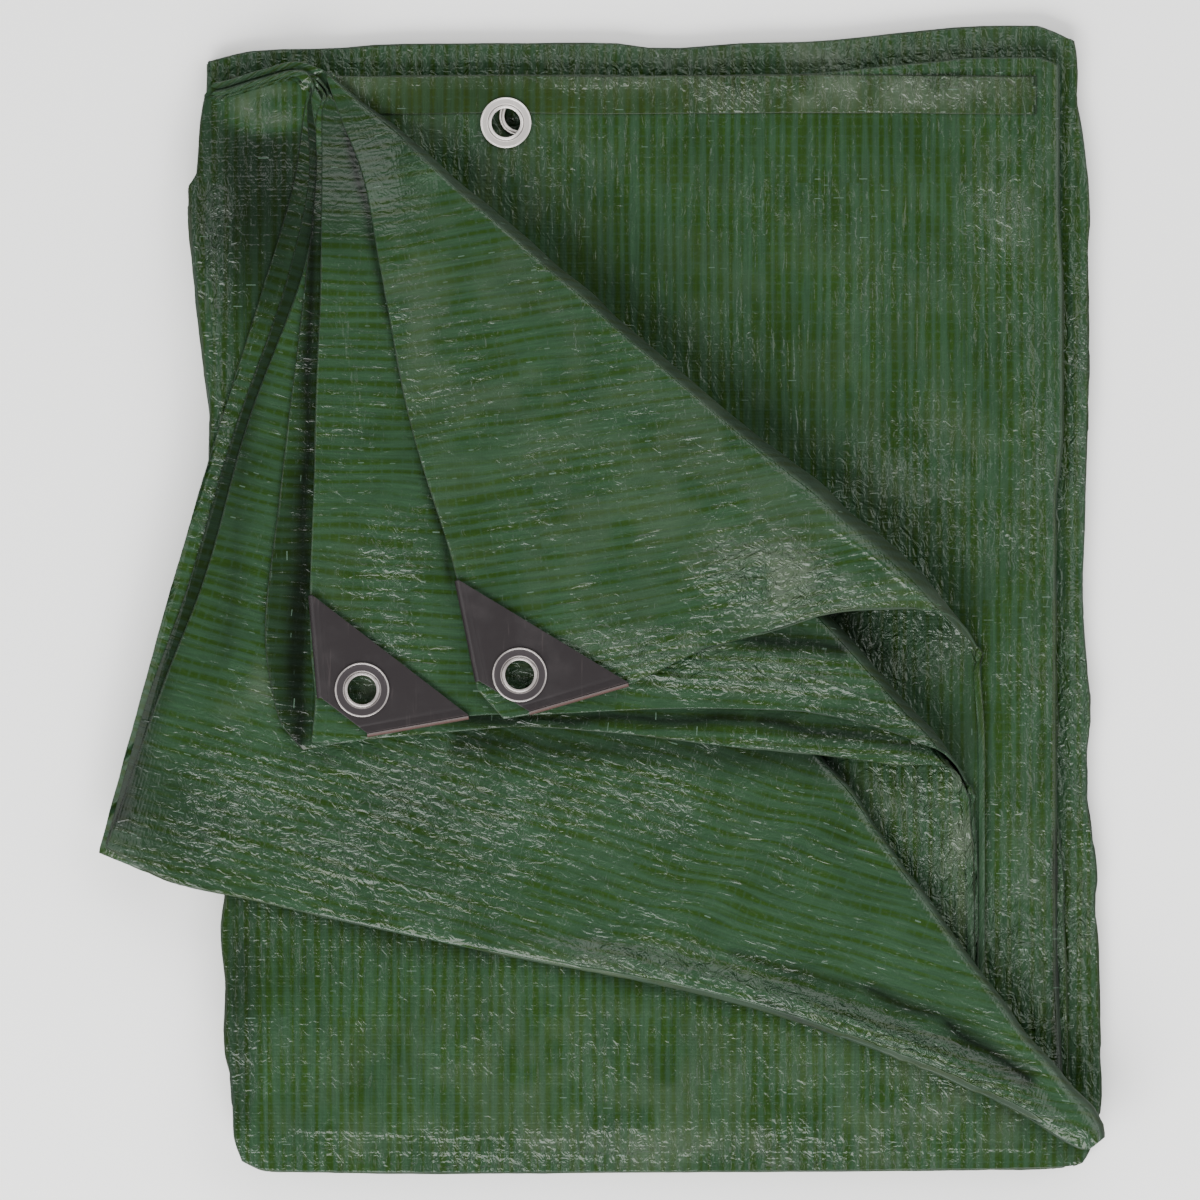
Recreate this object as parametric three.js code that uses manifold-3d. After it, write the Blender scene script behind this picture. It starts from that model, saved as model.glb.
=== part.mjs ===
// A folded tarpaulin of woven polyethylene, one corner of its stack turned over, in millimetres, +Z up.
// The stack lies on z = 0 with its middle over the origin. +Y is the long way of the stack, +X its right.
// Its cloth is one piece. The stack is a back-and-forth section, and the upper layers go on from it:
// each lies flat, rolls over a slanting fold line and comes back as a flap. All fold lines fan out
// from one place near the top left corner, so each flap is part of a slim cone.
import * as THREE from "three";
import { mergeVertices } from "three/addons/utils/BufferGeometryUtils.js";
import Module from "manifold-3d";

const wasm = await Module();
wasm.setup();

const clothThickness = 1.0;
const clearance = 0.3;

// The outline of the whole stack, a row for each place where an edge bends.
const stackLeft = [
  { y: -229, x: -140 }, { y: -221, x: -145 }, { y: -205, x: -147.5 }, { y: -177, x: -150.4 },
  { y: -116, x: -150 }, { y: 60, x: -156 }, { y: 120, x: -161 }, { y: 168, x: -164.5 },
  { y: 193, x: -160 }, { y: 222, x: -157 },
];
const stackRight = [
  { y: -229, x: 192 }, { y: -220, x: 198 }, { y: -205, x: 200 }, { y: -143, x: 198.5 },
  { y: -80, x: 194.5 }, { y: -49, x: 196 }, { y: 28, x: 193.5 }, { y: 92, x: 195 },
  { y: 152, x: 195.5 }, { y: 208, x: 190.5 }, { y: 226, x: 187 },
];
const stackTop = [
  { x: -160, y: 214 }, { x: -136, y: 219.5 }, { x: -80, y: 222 }, { x: -16, y: 222.4 },
  { x: 35, y: 220.4 }, { x: 92, y: 223.6 }, { x: 151, y: 229 }, { x: 176, y: 229.2 }, { x: 191, y: 222 },
];
const stackBottom = [
  { x: -147, y: -223 }, { x: -132, y: -228.4 }, { x: -72, y: -229.2 }, { x: 80, y: -228.4 },
  { x: 178, y: -227.2 }, { x: 198, y: -221 },
];

// The stack's layers from the floor up: the height of each, and how far in its edges lie.
// A fold joins each layer to the next, at the right from an even layer and at the left from an odd one.
const stackLayers = [
  { z: 0.5, foldInset: 0.5, topInset: 0, bottomInset: 1.5 },
  { z: 2.4, foldInset: 0.5, topInset: 1.0, bottomInset: 0 },
  { z: 4.3, foldInset: 2.0, topInset: 0.5, bottomInset: 1.0 },
  { z: 6.2, foldInset: 1.5, topInset: 2.0, bottomInset: 0.5 },
  { z: 8.7, foldInset: 13.0, topInset: 13.5, bottomInset: 1.0 },
  { z: 12.3, foldInset: 1.0, topInset: 13.5, bottomInset: 0.5 },
];
const stackTopLayer = stackLayers[stackLayers.length - 1];

// The hem along the top layer, with one eyelet in view and another in the layer below it.
const hemStrip = { left: -148, right: 174, bottom: 176, top: 208, thickness: 1.3 };
const hemEyelet = { x: -37.6, y: 190.6, z: stackTopLayer.z, grip: hemStrip.thickness };
const lowerEyelet = { x: -32.4, y: 193.4, z: stackLayers[4].z, grip: clothThickness };

// The eyelets are all of one size: a barrel between two flanges, pressed together through the cloth.
const eyelet = { hole: 5.75, barrel: 6.5, flange: 10.9, flangeThickness: 0.7, shoulder: 7.6, sides: 28 };
const eyeletHole = eyelet.barrel + clearance;

// The corner pockets of dark plastic: leg length, cut-off corner, plate thickness and room for the cloth.
const pocket = { leg: 60.4, cut: 18.8, plate: 0.9, room: 0.35 };
const pocketGrip = clothThickness + 2 * (pocket.room + pocket.plate);

// Each flap: where its fold line starts, how steeply that runs down, how long it is, and the heights of
// its layers: flat, turned over, and turned over but pinched together where the fold lines start.
// The rows follow the fold line. across is how far the flap's free edge lies past the fold line,
// under the same for the layer beneath, turn how much of the roll is there, bulge how far it swells
// past the fold line and lift how high it stands.
const rightFlap = {
  start: { x: -110, y: 208.4 },
  slope: 41.15,
  length: 350,
  layers: [{ column: "across", shift: 0, flat: 14.2, pinched: 29.4, turned: 35.7 }],
  rows: [
    { along: 0, across: 0, turn: 0.12, bulge: 1.5, lift: 0 },
    { along: 5, across: 0, turn: 0.5, bulge: 2, lift: 0 },
    { along: 14, across: 4, turn: 1, bulge: 3, lift: 0 },
    { along: 35, across: 17.5, turn: 1, bulge: 4, lift: 0 },
    { along: 65, across: 40.6, turn: 1, bulge: 4.6, lift: 0 },
    { along: 118, across: 81.7, turn: 1, bulge: 5.2, lift: 0 },
    { along: 172.5, across: 116, turn: 1, bulge: 5.2, lift: 0 },
    { along: 211, across: 146, turn: 1, bulge: 5.6, lift: 0 },
    { along: 224, across: 143.2, turn: 1, bulge: 6, lift: 0 },
    { along: 251, across: 101.6, turn: 1, bulge: 7.4, lift: 0.5 },
    { along: 263, across: 74, turn: 1, bulge: 7.8, lift: 1 },
    { along: 280, across: 47.7, turn: 1, bulge: 8.2, lift: 1.8 },
    { along: 293, across: 27, turn: 1, bulge: 8.2, lift: 2.4 },
    { along: 308, across: 12, turn: 1, bulge: 7.6, lift: 2.6 },
    { along: 331, across: 0, turn: 0.72, bulge: 4.6, lift: 1.6 },
    { along: 341, across: 0, turn: 0.42, bulge: 3, lift: 0.8 },
    { along: 349, across: 0, turn: 0.12, bulge: 1.5, lift: 0 },
  ],
};
const leftFlap = {
  start: { x: -113.2, y: 204.8 },
  slope: 47,
  length: 387,
  layers: [
    { column: "across", shift: 0, flat: 16.1, pinched: 27.9, turned: 31.7 },
    { column: "under", shift: 2.1, flat: 18.0, pinched: 26.4, turned: 27.7 },
  ],
  rows: [
    { along: 0, across: 0, under: 0, turn: 0.12, bulge: 1, lift: 0 },
    { along: 4, across: 0, under: 0, turn: 0.5, bulge: 1.6, lift: 0 },
    { along: 10, across: 6, under: 9, turn: 1, bulge: 2, lift: 0 },
    { along: 24, across: 19, under: 22, turn: 1, bulge: 2.4, lift: 0 },
    { along: 63.5, across: 56.5, under: 67, turn: 1, bulge: 3, lift: 0 },
    { along: 87, across: 80.5, under: 95, turn: 1, bulge: 3.6, lift: 0 },
    { along: 111.5, across: 104.5, under: 124, turn: 1, bulge: 4.2, lift: 0 },
    { along: 146.5, across: 139.5, under: 164, turn: 1, bulge: 5, lift: 0 },
    { along: 185.6, across: 170, under: 185, turn: 1, bulge: 5, lift: 0 },
    { along: 198.6, across: 167.8, under: 168, turn: 1, bulge: 5.2, lift: 0 },
    { along: 226.4, across: 124.8, under: 134, turn: 1, bulge: 5.4, lift: 0 },
    { along: 264, across: 81.5, under: 93.5, turn: 1, bulge: 5.5, lift: 0 },
    { along: 280.5, across: 62.5, under: 79, turn: 1, bulge: 5.5, lift: 0 },
    { along: 308, across: 34, under: 56, turn: 1, bulge: 5.5, lift: 0.6 },
    { along: 338.5, across: 11, under: 29, turn: 1, bulge: 5.3, lift: 1.4 },
    { along: 367, across: 0, under: 7, turn: 0.74, bulge: 3.4, lift: 1 },
    { along: 377, across: 0, under: 3, turn: 0.4, bulge: 2.2, lift: 0.4 },
    { along: 385, across: 0, under: 1, turn: 0.12, bulge: 1.2, lift: 0 },
  ],
};
const wideFlap = {
  start: { x: -118, y: 204.8 },
  slope: 53.1,
  length: 527,
  layers: [
    { column: "across", shift: 0, flat: 19.9, pinched: 24.9, turned: 25.6 },
    { column: "under", shift: 1.9, flat: 21.8, pinched: 23.4, turned: 23.7 },
  ],
  rows: [
    { along: 0, across: 0, under: 0, turn: 0.12, bulge: 0.8, lift: 0 },
    { along: 4, across: 0, under: 0, turn: 0.5, bulge: 1.2, lift: 0 },
    { along: 9, across: 3, under: 6, turn: 1, bulge: 1.5, lift: 0 },
    { along: 29, across: 12.7, under: 27, turn: 1, bulge: 2, lift: 0 },
    { along: 56.5, across: 41, under: 64, turn: 1, bulge: 2.4, lift: 0 },
    { along: 93.5, across: 97.5, under: 115.5, turn: 1, bulge: 2.8, lift: 0 },
    { along: 134, across: 150.5, under: 170, turn: 1, bulge: 3, lift: 0 },
    { along: 195, across: 245, under: 249, turn: 1, bulge: 3.8, lift: 0 },
    { along: 219, across: 234, under: 234, turn: 1, bulge: 4, lift: 0 },
    { along: 284, across: 179.5, under: 179.5, turn: 1, bulge: 5, lift: 0 },
    { along: 331, across: 138.5, under: 138.5, turn: 1, bulge: 6, lift: 0 },
    { along: 372.5, across: 101, under: 101, turn: 1, bulge: 5.6, lift: 0.5 },
    { along: 404, across: 75.5, under: 75.5, turn: 1, bulge: 4.6, lift: 1.5 },
    { along: 462.5, across: 37, under: 37, turn: 1, bulge: 4, lift: 3.5 },
    { along: 487.5, across: 23, under: 23, turn: 1, bulge: 5, lift: 4 },
    { along: 505, across: 14, under: 14, turn: 1, bulge: 6.4, lift: 4 },
    { along: 515, across: 6, under: 6, turn: 1, bulge: 6, lift: 3.5 },
    { along: 522, across: 0, under: 0, turn: 0.6, bulge: 4.4, lift: 2 },
  ],
};
const flaps = [rightFlap, leftFlap, wideFlap];
const pinch = { x: -114, y: 206, reach: 130 };
const liftReach = 70;

// Where each flap's corner is, and which way its two edges run from there, in degrees from +X.
const corners = [
  { name: "right", x: -46, y: -51.2, along: 16.2, up: 101.5, eyelet: { x: -32, y: -29.8 }, z: 35.7 },
  { name: "left", x: -111.2, y: -58, along: 10, up: 94.9, eyelet: { x: -94.8, y: -35.8 }, z: 31.7 },
];

// The overhanging tip of the wide flap droops past this line.
const droop = { fromX: -165, steepness: 0.006 };

// The cloth's slow unevenness, which dies away towards the floor and around the fittings.
const unevenness = { height: 0.5, fullAt: 40, acrossLength: 34, alongLength: 43, calmRadius: 38, fadeLength: 60 };

const clothColour = "#35562f";
const plasticColour = "#40383c";
const metalColour = "#cdc8c6";
const clothMaterial = new THREE.MeshStandardMaterial({ color: clothColour, roughness: 0.42, metalness: 0 });
const plasticMaterial = new THREE.MeshStandardMaterial({ color: plasticColour, roughness: 0.45, metalness: 0 });
const metalMaterial = new THREE.MeshStandardMaterial({ color: metalColour, roughness: 0.3, metalness: 0.9 });

// Reads a column of a table between its rows.
function between(rows, place, at, column) {
  const last = rows.length - 1;
  if (at <= rows[0][place]) return rows[0][column];
  if (at >= rows[last][place]) return rows[last][column];
  const next = rows.findIndex((row) => row[place] >= at);
  const share = (at - rows[next - 1][place]) / (rows[next][place] - rows[next - 1][place]);
  return THREE.MathUtils.lerp(rows[next - 1][column], rows[next][column], share);
}

const leftEdge = (y) => between(stackLeft, "y", y, "x");
const rightEdge = (y) => between(stackRight, "y", y, "x");
const topEdge = (x) => between(stackTop, "x", x, "y");
const bottomEdge = (x) => between(stackBottom, "x", x, "y");

function calmNear(x, y) {
  const fittings = [hemEyelet, ...corners.map((corner) => corner.eyelet)];
  return fittings.reduce((calm, fitting) => {
    const away = Math.hypot(x - fitting.x, y - fitting.y) - unevenness.calmRadius;
    return calm * THREE.MathUtils.smoothstep(away, 0, unevenness.fadeLength);
  }, 1);
}

// The height of a layer over a place: its own level, the unevenness, and the droop past the stack.
function layerHeight(level, x, y) {
  const share = (level - stackLayers[0].z) / unevenness.fullAt;
  const ripple = Math.sin(x / unevenness.acrossLength) * Math.cos(y / unevenness.alongLength);
  const past = Math.max(0, droop.fromX - x);
  return level + unevenness.height * share * ripple * calmNear(x, y) - droop.steepness * past * past;
}

// The height of a flap's layer, which eases from pinched to fully turned away from the fold lines' start.
function turnedHeight(layer, spot) {
  const away = Math.hypot(spot.x - pinch.x, spot.y - pinch.y);
  return THREE.MathUtils.lerp(layer.pinched, layer.turned, THREE.MathUtils.smoothstep(away, 0, pinch.reach));
}

function solidFrom(positions, triangles) {
  const geometry = new THREE.BufferGeometry();
  geometry.setAttribute("position", new THREE.Float32BufferAttribute(positions, 3));
  geometry.setIndex(triangles);
  return solidFromGeometry(geometry);
}

// Turns a closed geometry into a solid with its faces out.
function solidFromGeometry(geometry) {
  geometry.deleteAttribute("normal");
  geometry.deleteAttribute("uv");
  const merged = mergeVertices(geometry, 1e-4);
  const vertices = merged.attributes.position.array;
  const triangles = Array.from(merged.index.array);
  let volume = 0;
  const corner = [new THREE.Vector3(), new THREE.Vector3(), new THREE.Vector3()];
  for (let first = 0; first < triangles.length; first += 3) {
    corner.forEach((point, which) => point.fromArray(vertices, 3 * triangles[first + which]));
    volume += corner[0].dot(corner[1].cross(corner[2]));
  }
  if (volume < 0) triangles.reverse();
  const mesh = new wasm.Mesh({
    numProp: 3,
    vertProperties: new Float32Array(vertices),
    triVerts: new Uint32Array(triangles),
  });
  return new wasm.Manifold(mesh);
}

// Gives a grid of points along the middle of the cloth its thickness, as a closed sheet.
function sheetSolid(grid, thickness) {
  const rows = grid.length;
  const columns = grid[0].length;
  const point = (row, column) =>
    grid[THREE.MathUtils.clamp(row, 0, rows - 1)][THREE.MathUtils.clamp(column, 0, columns - 1)];
  const positions = [];
  for (const side of [thickness / 2, -thickness / 2]) {
    for (let row = 0; row < rows; row++) {
      for (let column = 0; column < columns; column++) {
        const across = point(row, column + 1).clone().sub(point(row, column - 1));
        const along = point(row + 1, column).clone().sub(point(row - 1, column));
        const normal = across.cross(along).normalize();
        positions.push(...point(row, column).clone().addScaledVector(normal, side).toArray());
      }
    }
  }
  const index = (side, row, column) => (side * rows + row) * columns + column;
  const triangles = [];
  const quad = (a, b, c, d) => triangles.push(a, b, c, a, c, d);
  for (let row = 0; row < rows - 1; row++) {
    for (let column = 0; column < columns - 1; column++) {
      const next = column + 1;
      quad(index(0, row, column), index(0, row, next), index(0, row + 1, next), index(0, row + 1, column));
      quad(index(1, row, column), index(1, row + 1, column), index(1, row + 1, next), index(1, row, next));
    }
  }
  const rim = [];
  for (let column = 0; column < columns - 1; column++) rim.push([0, column]);
  for (let row = 0; row < rows - 1; row++) rim.push([row, columns - 1]);
  for (let column = columns - 1; column > 0; column--) rim.push([rows - 1, column]);
  for (let row = rows - 1; row > 0; row--) rim.push([row, 0]);
  rim.forEach(([row, column], place) => {
    const [nextRow, nextColumn] = rim[(place + 1) % rim.length];
    const here = [index(0, row, column), index(1, row, column)];
    const there = [index(0, nextRow, nextColumn), index(1, nextRow, nextColumn)];
    quad(here[0], here[1], there[1], there[0]);
  });
  return solidFrom(positions, triangles);
}

// One crosswise line of the stack: back and forth through its layers, a half circle at each fold.
function stackSection(share) {
  const layerShares = [0, 0.3, 0.6, 0.9, 1];
  const foldSteps = 4;
  const line = [];
  const place = (level, x, layer) => {
    const bottom = bottomEdge(x) + layer.bottomInset;
    const top = topEdge(x) - layer.topInset;
    const y = THREE.MathUtils.lerp(bottom, top, share);
    return new THREE.Vector3(x, y, layerHeight(level, x, y));
  };
  const height = THREE.MathUtils.lerp(-225, 215, share);
  stackLayers.forEach((layer, number) => {
    const before = stackLayers[number - 1];
    const after = stackLayers[number + 1];
    const toRight = number % 2 === 0;
    const radiusIn = before ? (layer.z - before.z) / 2 : 0;
    const radiusOut = after ? (after.z - layer.z) / 2 : 0;
    const insetIn = before ? before.foldInset : layer.foldInset;
    const start = toRight ? leftEdge(height) + insetIn + radiusIn : rightEdge(height) - insetIn - radiusIn;
    const end = toRight ? rightEdge(height) - layer.foldInset - radiusOut : leftEdge(height) + layer.foldInset;
    const foldStart = toRight || !after ? end : end + radiusOut;
    const shares = toRight ? layerShares : layerShares.map((from) => 1 - from).reverse();
    for (const from of shares) line.push(place(layer.z, THREE.MathUtils.lerp(start, foldStart, from), layer));
    if (!after) return;
    for (let step = 1; step < foldSteps; step++) {
      const angle = (Math.PI * step) / foldSteps;
      const outward = (toRight ? 1 : -1) * radiusOut * Math.sin(angle);
      const rise = radiusOut * (1 - Math.cos(angle));
      const point = place(layer.z, foldStart, step * 2 < foldSteps ? layer : after);
      line.push(point.add(new THREE.Vector3(outward, 0, rise)));
    }
  });
  return line;
}

function stackSolid() {
  const shares = [0, 0.05, 0.2, 0.36, 0.52, 0.68, 0.8, 0.9, 1];
  return sheetSolid(shares.map(stackSection), clothThickness);
}

// A flap's fold line and its level directions: along it, and across it to the lower left.
function foldLine(flap) {
  const slope = THREE.MathUtils.degToRad(flap.slope);
  return {
    start: new THREE.Vector2(flap.start.x, flap.start.y),
    along: new THREE.Vector2(Math.cos(slope), -Math.sin(slope)),
    across: new THREE.Vector2(-Math.sin(slope), -Math.cos(slope)),
    slope,
  };
}

// How far a line across the stack runs before it meets the stack's left or bottom edge.
function reachOf(from, direction, inset) {
  let inside = 0;
  let outside = 600;
  while (outside - inside > 0.01) {
    const middle = (inside + outside) / 2;
    const spot = from.clone().addScaledVector(direction, middle);
    const within = spot.x > leftEdge(spot.y) + inset && spot.y > bottomEdge(spot.x) + inset;
    if (within) inside = middle;
    else outside = middle;
  }
  return inside;
}

// One line of cloth across a flap's fold line: from the stack's edge, over the roll, to the free edge.
function flapSection(flap, layer, at) {
  const flatSteps = 4;
  const rollSteps = 5;
  const turnedSteps = 3;
  const line = foldLine(flap);
  const edgeInset = 1.0;
  const onLine = line.start.clone().addScaledVector(line.along, at).addScaledVector(line.across, layer.shift);
  const row = (column) => between(flap.rows, "along", at, column);
  const bulge = row("bulge");
  const lift = row("lift");
  const rise = turnedHeight(layer, onLine) + lift - layer.flat;
  const rollLength = (Math.PI * (bulge + rise / 2)) / 2;
  const reach = reachOf(onLine, line.across, edgeInset);
  const spotAt = (offset) => onLine.clone().addScaledVector(line.across, offset);
  const place = (offset, level) => {
    const spot = spotAt(offset);
    return new THREE.Vector3(spot.x, spot.y, layerHeight(level, spot.x, spot.y));
  };
  const pointAt = (length) => {
    if (length <= 0) return place(-length, layer.flat);
    if (length < rollLength) {
      const angle = (Math.PI * length) / rollLength;
      return place(-bulge * Math.sin(angle), layer.flat + (rise * (1 - Math.cos(angle))) / 2);
    }
    const past = length - rollLength;
    const settle = Math.max(0, 1 - past / liftReach);
    return place(past, turnedHeight(layer, spotAt(past)) + lift * settle * settle);
  };
  const besideHem = at < 0 ? -at * Math.tan(line.slope) : (at - flap.length) / Math.tan(line.slope);
  const edge = at < 0 || at > flap.length
    ? -Math.max(0, besideHem)
    : Math.max(0, row(layer.column) - layer.shift) + rollLength * row("turn");
  const flatStart = Math.min(0, edge - (edge <= 0 ? 0.2 * (reach + edge) : 0));
  const rollEnd = edge > 0 ? Math.min(rollLength, 0.8 * edge) : THREE.MathUtils.lerp(flatStart, edge, 0.6);
  const lengths = [];
  for (let step = 0; step < flatSteps; step++) {
    lengths.push(THREE.MathUtils.lerp(-reach, flatStart, step / flatSteps));
  }
  for (let step = 0; step < rollSteps; step++) {
    lengths.push(THREE.MathUtils.lerp(flatStart, rollEnd, step / rollSteps));
  }
  for (let step = 0; step <= turnedSteps; step++) {
    lengths.push(THREE.MathUtils.lerp(rollEnd, edge, step / turnedSteps));
  }
  return lengths.map(pointAt);
}

// The places along the fold line that get a section: the table's rows, and those that reach the stack's
// corners beyond the fold line's two ends.
function flapPlaces(flap) {
  const line = foldLine(flap);
  const alongOf = (x, y) => new THREE.Vector2(x, y).sub(line.start).dot(line.along);
  const topLeft = alongOf(leftEdge(flap.start.y), flap.start.y);
  const bottomLeft = alongOf(stackLeft[1].x + 2, stackBottom[1].y + 2);
  const bottomRight = alongOf(hemRightOf(flap), bottomEdge(hemRightOf(flap)));
  const places = flap.rows.map((row) => row.along);
  places.push(topLeft * 0.94, topLeft * 0.5, bottomLeft);
  for (const share of [0.25, 0.6, 0.97]) {
    places.push(THREE.MathUtils.lerp(flap.length, bottomRight, share));
  }
  places.sort((one, other) => one - other);
  return places.filter((place, number) => number === 0 || place - places[number - 1] > 2);
}

// The straight hem of a flap's flat part runs down from the lower end of the fold line.
function hemRightOf(flap) {
  const line = foldLine(flap);
  return line.start.x + line.along.x * flap.length;
}

function flapSolids(flap) {
  return flap.layers.map((layer) => {
    const grid = flapPlaces(flap).map((at) => flapSection(flap, layer, at));
    return sheetSolid(grid, clothThickness);
  });
}

// A fold that joins two layers along an edge: two legs inside the layers, and a half circle outside.
function foldSolid(edge, lowLevel, highLevel) {
  const legLength = 4;
  const legThickness = 0.8 * clothThickness;
  const arcSteps = 3;
  const grid = edge.map(({ x, y, outward, levels }) => {
    const [low, high] = levels ?? [lowLevel, highLevel];
    const radius = (high - low) / 2;
    const place = (out, level) => {
      const spotX = x + outward.x * out;
      const spotY = y + outward.y * out;
      return new THREE.Vector3(spotX, spotY, layerHeight(level, x, y));
    };
    const line = [place(-legLength, low)];
    for (let step = 0; step <= arcSteps; step++) {
      const angle = (Math.PI * step) / arcSteps;
      line.push(place(radius * Math.sin(angle) - 0.4, low + radius * (1 - Math.cos(angle))));
    }
    line.push(place(-legLength, high));
    return line;
  });
  return sheetSolid(grid, legThickness);
}

function leftFold(low, high) {
  const outward = { x: -1, y: 0 };
  const heights = [-208, -177, -116, -60, 0, 60, 120, 165];
  return foldSolid(heights.map((y) => ({ x: leftEdge(y) + 1, y, outward })), low, high);
}

function bottomFold(low, high) {
  const outward = { x: 0, y: -1 };
  const places = [-130, -100, -72, 0, 80, 140];
  return foldSolid(places.map((x) => ({ x, y: bottomEdge(x) + 1, outward })), low, high);
}

// The wide flap is double: its two layers are one piece, folded along the flap's lower edge.
function wideFlapFold() {
  const line = foldLine(wideFlap);
  const [upper, lower] = wideFlap.layers;
  const inset = 0.2;
  const rows = wideFlap.rows.filter((row) => row.along > 200 && row.turn === 1 && row.along < 500);
  const spots = rows.map((row) => {
    const spot = line.start.clone().addScaledVector(line.along, row.along);
    return spot.addScaledVector(line.across, row.across - inset);
  });
  const edge = spots.map((spot, number) => {
    const before = spots[Math.max(0, number - 1)];
    const after = spots[Math.min(spots.length - 1, number + 1)];
    const direction = after.clone().sub(before).normalize();
    const settle = Math.max(0, 1 - rows[number].across / liftReach);
    const lift = rows[number].lift * settle * settle;
    const outward = { x: direction.y, y: -direction.x };
    return { x: spot.x, y: spot.y, outward, levels: [lower.turned + lift, upper.turned + lift] };
  });
  return foldSolid(edge);
}

function boxSolid(left, right, bottom, top, low, high) {
  const geometry = new THREE.BoxGeometry(right - left, top - bottom, high - low);
  geometry.translate((left + right) / 2, (bottom + top) / 2, (low + high) / 2);
  return solidFromGeometry(geometry);
}

function roundHole(x, y, z, depth) {
  const geometry = new THREE.CylinderGeometry(eyeletHole, eyeletHole, depth, eyelet.sides);
  geometry.rotateX(Math.PI / 2);
  geometry.translate(x, y, z);
  return solidFromGeometry(geometry);
}

function tarpSolid() {
  const flats = flaps.flatMap((flap) => flap.layers.map((layer) => layer.flat)).sort((a, b) => a - b);
  const levels = [stackTopLayer.z, ...flats];
  let cloth = stackSolid();
  for (const flap of flaps) {
    for (const sheet of flapSolids(flap)) cloth = cloth.add(sheet);
  }
  for (let number = 0; number < levels.length - 2; number++) {
    const fold = number % 2 === 0 ? leftFold : bottomFold;
    cloth = cloth.add(fold(levels[number], levels[number + 1]));
  }
  cloth = cloth.add(wideFlapFold());
  const stripSpace = boxSolid(-175, hemStrip.right + clearance, hemStrip.bottom - clearance, 212,
    stackTopLayer.z - 1.2, stackTopLayer.z + 1);
  cloth = cloth.subtract(stripSpace);
  cloth = cloth.subtract(roundHole(lowerEyelet.x, lowerEyelet.y, lowerEyelet.z, 2));
  for (const corner of corners) {
    cloth = cloth.subtract(roundHole(corner.eyelet.x, corner.eyelet.y, corner.z, 2.4));
  }
  return withoutPinchedAir(cloth);
}

// Where the rolls start, side by side, they can pinch off a drop of air: the cloth closes over it.
function withoutPinchedAir(solid) {
  const shells = solid.decompose();
  return shells.reduce((largest, shell) => (shell.volume() > largest.volume() ? shell : largest));
}

function hemStripSolid() {
  const columns = 9;
  const grid = [hemStrip.bottom, (hemStrip.bottom + hemStrip.top) / 2, hemStrip.top].map((y) => {
    const line = [];
    for (let column = 0; column <= columns; column++) {
      const x = THREE.MathUtils.lerp(hemStrip.left, hemStrip.right, column / columns);
      line.push(new THREE.Vector3(x, y, layerHeight(stackTopLayer.z, x, y)));
    }
    return line;
  });
  const strip = sheetSolid(grid, hemStrip.thickness);
  return strip.subtract(roundHole(hemEyelet.x, hemEyelet.y, hemEyelet.z, 4));
}

// A pocket in plan, in lengths along its two edges from the corner.
function pocketShape(corner, lengths) {
  const along = THREE.MathUtils.degToRad(corner.along);
  const up = THREE.MathUtils.degToRad(corner.up);
  return new THREE.Shape(lengths.map(([first, second]) => new THREE.Vector2(
    corner.x + first * Math.cos(along) + second * Math.cos(up),
    corner.y + first * Math.sin(along) + second * Math.sin(up),
  )));
}

function plateSolid(shape, z, thickness) {
  const geometry = new THREE.ExtrudeGeometry(shape, { depth: thickness, bevelEnabled: false });
  geometry.translate(0, 0, z - thickness / 2);
  return solidFromGeometry(geometry);
}

function pocketSolid(corner) {
  const { leg, cut, plate, room } = pocket;
  const wall = 1.0;
  const past = leg + 12;
  const outline = pocketShape(corner, [[cut, 0], [leg, 0], [0, leg], [0, cut]]);
  const inside = pocketShape(corner, [[wall, wall], [past, wall], [wall, past]]);
  const whole = plateSolid(outline, corner.z, pocketGrip);
  const hollow = plateSolid(inside, corner.z, pocketGrip - 2 * plate);
  const hole = roundHole(corner.eyelet.x, corner.eyelet.y, corner.z, pocketGrip + 2);
  return whole.subtract(hollow).subtract(hole);
}

// A closed profile turned about the eyelet's axis: hole, rolled edge, sloping flange, barrel and back.
function eyeletGeometry({ x, y, z, grip }) {
  const { hole, barrel, flange, flangeThickness, shoulder, sides } = eyelet;
  const seat = grip / 2 + clearance;
  const outer = seat + flangeThickness;
  const profile = [
    [hole, -outer + 0.25], [hole + 0.3, -outer], [flange - 0.3, -outer], [flange, -seat - 0.2],
    [flange, -seat], [barrel, -seat], [barrel, seat], [flange, seat], [flange, seat + 0.2],
    [flange - 0.5, outer - 0.2], [shoulder, outer - 0.1], [hole + 0.5, outer], [hole, outer - 0.35],
  ];
  profile.push(profile[0]);
  const geometry = new THREE.LatheGeometry(profile.map(([r, h]) => new THREE.Vector2(r, h)), sides);
  geometry.rotateX(Math.PI / 2);
  geometry.translate(x, y, z);
  return geometry;
}

function meshOf(name, solid, material) {
  const { vertProperties, triVerts } = solid.getMesh();
  const geometry = new THREE.BufferGeometry();
  geometry.setAttribute("position", new THREE.BufferAttribute(new Float32Array(vertProperties), 3));
  geometry.setIndex(Array.from(triVerts));
  geometry.computeVertexNormals();
  const mesh = new THREE.Mesh(geometry, material);
  mesh.name = name;
  return mesh;
}

const model = new THREE.Group();
model.add(meshOf("tarp", tarpSolid(), clothMaterial));
model.add(meshOf("hem_strip", hemStripSolid(), clothMaterial));
model.add(meshOf("hem_eyelet", solidFromGeometry(eyeletGeometry(hemEyelet)), metalMaterial));
model.add(meshOf("lower_eyelet", solidFromGeometry(eyeletGeometry(lowerEyelet)), metalMaterial));
for (const corner of corners) {
  const place = { ...corner.eyelet, z: corner.z, grip: pocketGrip };
  model.add(meshOf(`corner_pocket_${corner.name}`, pocketSolid(corner), plasticMaterial));
  model.add(meshOf(`corner_eyelet_${corner.name}`, solidFromGeometry(eyeletGeometry(place)), metalMaterial));
}
export default model;
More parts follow.
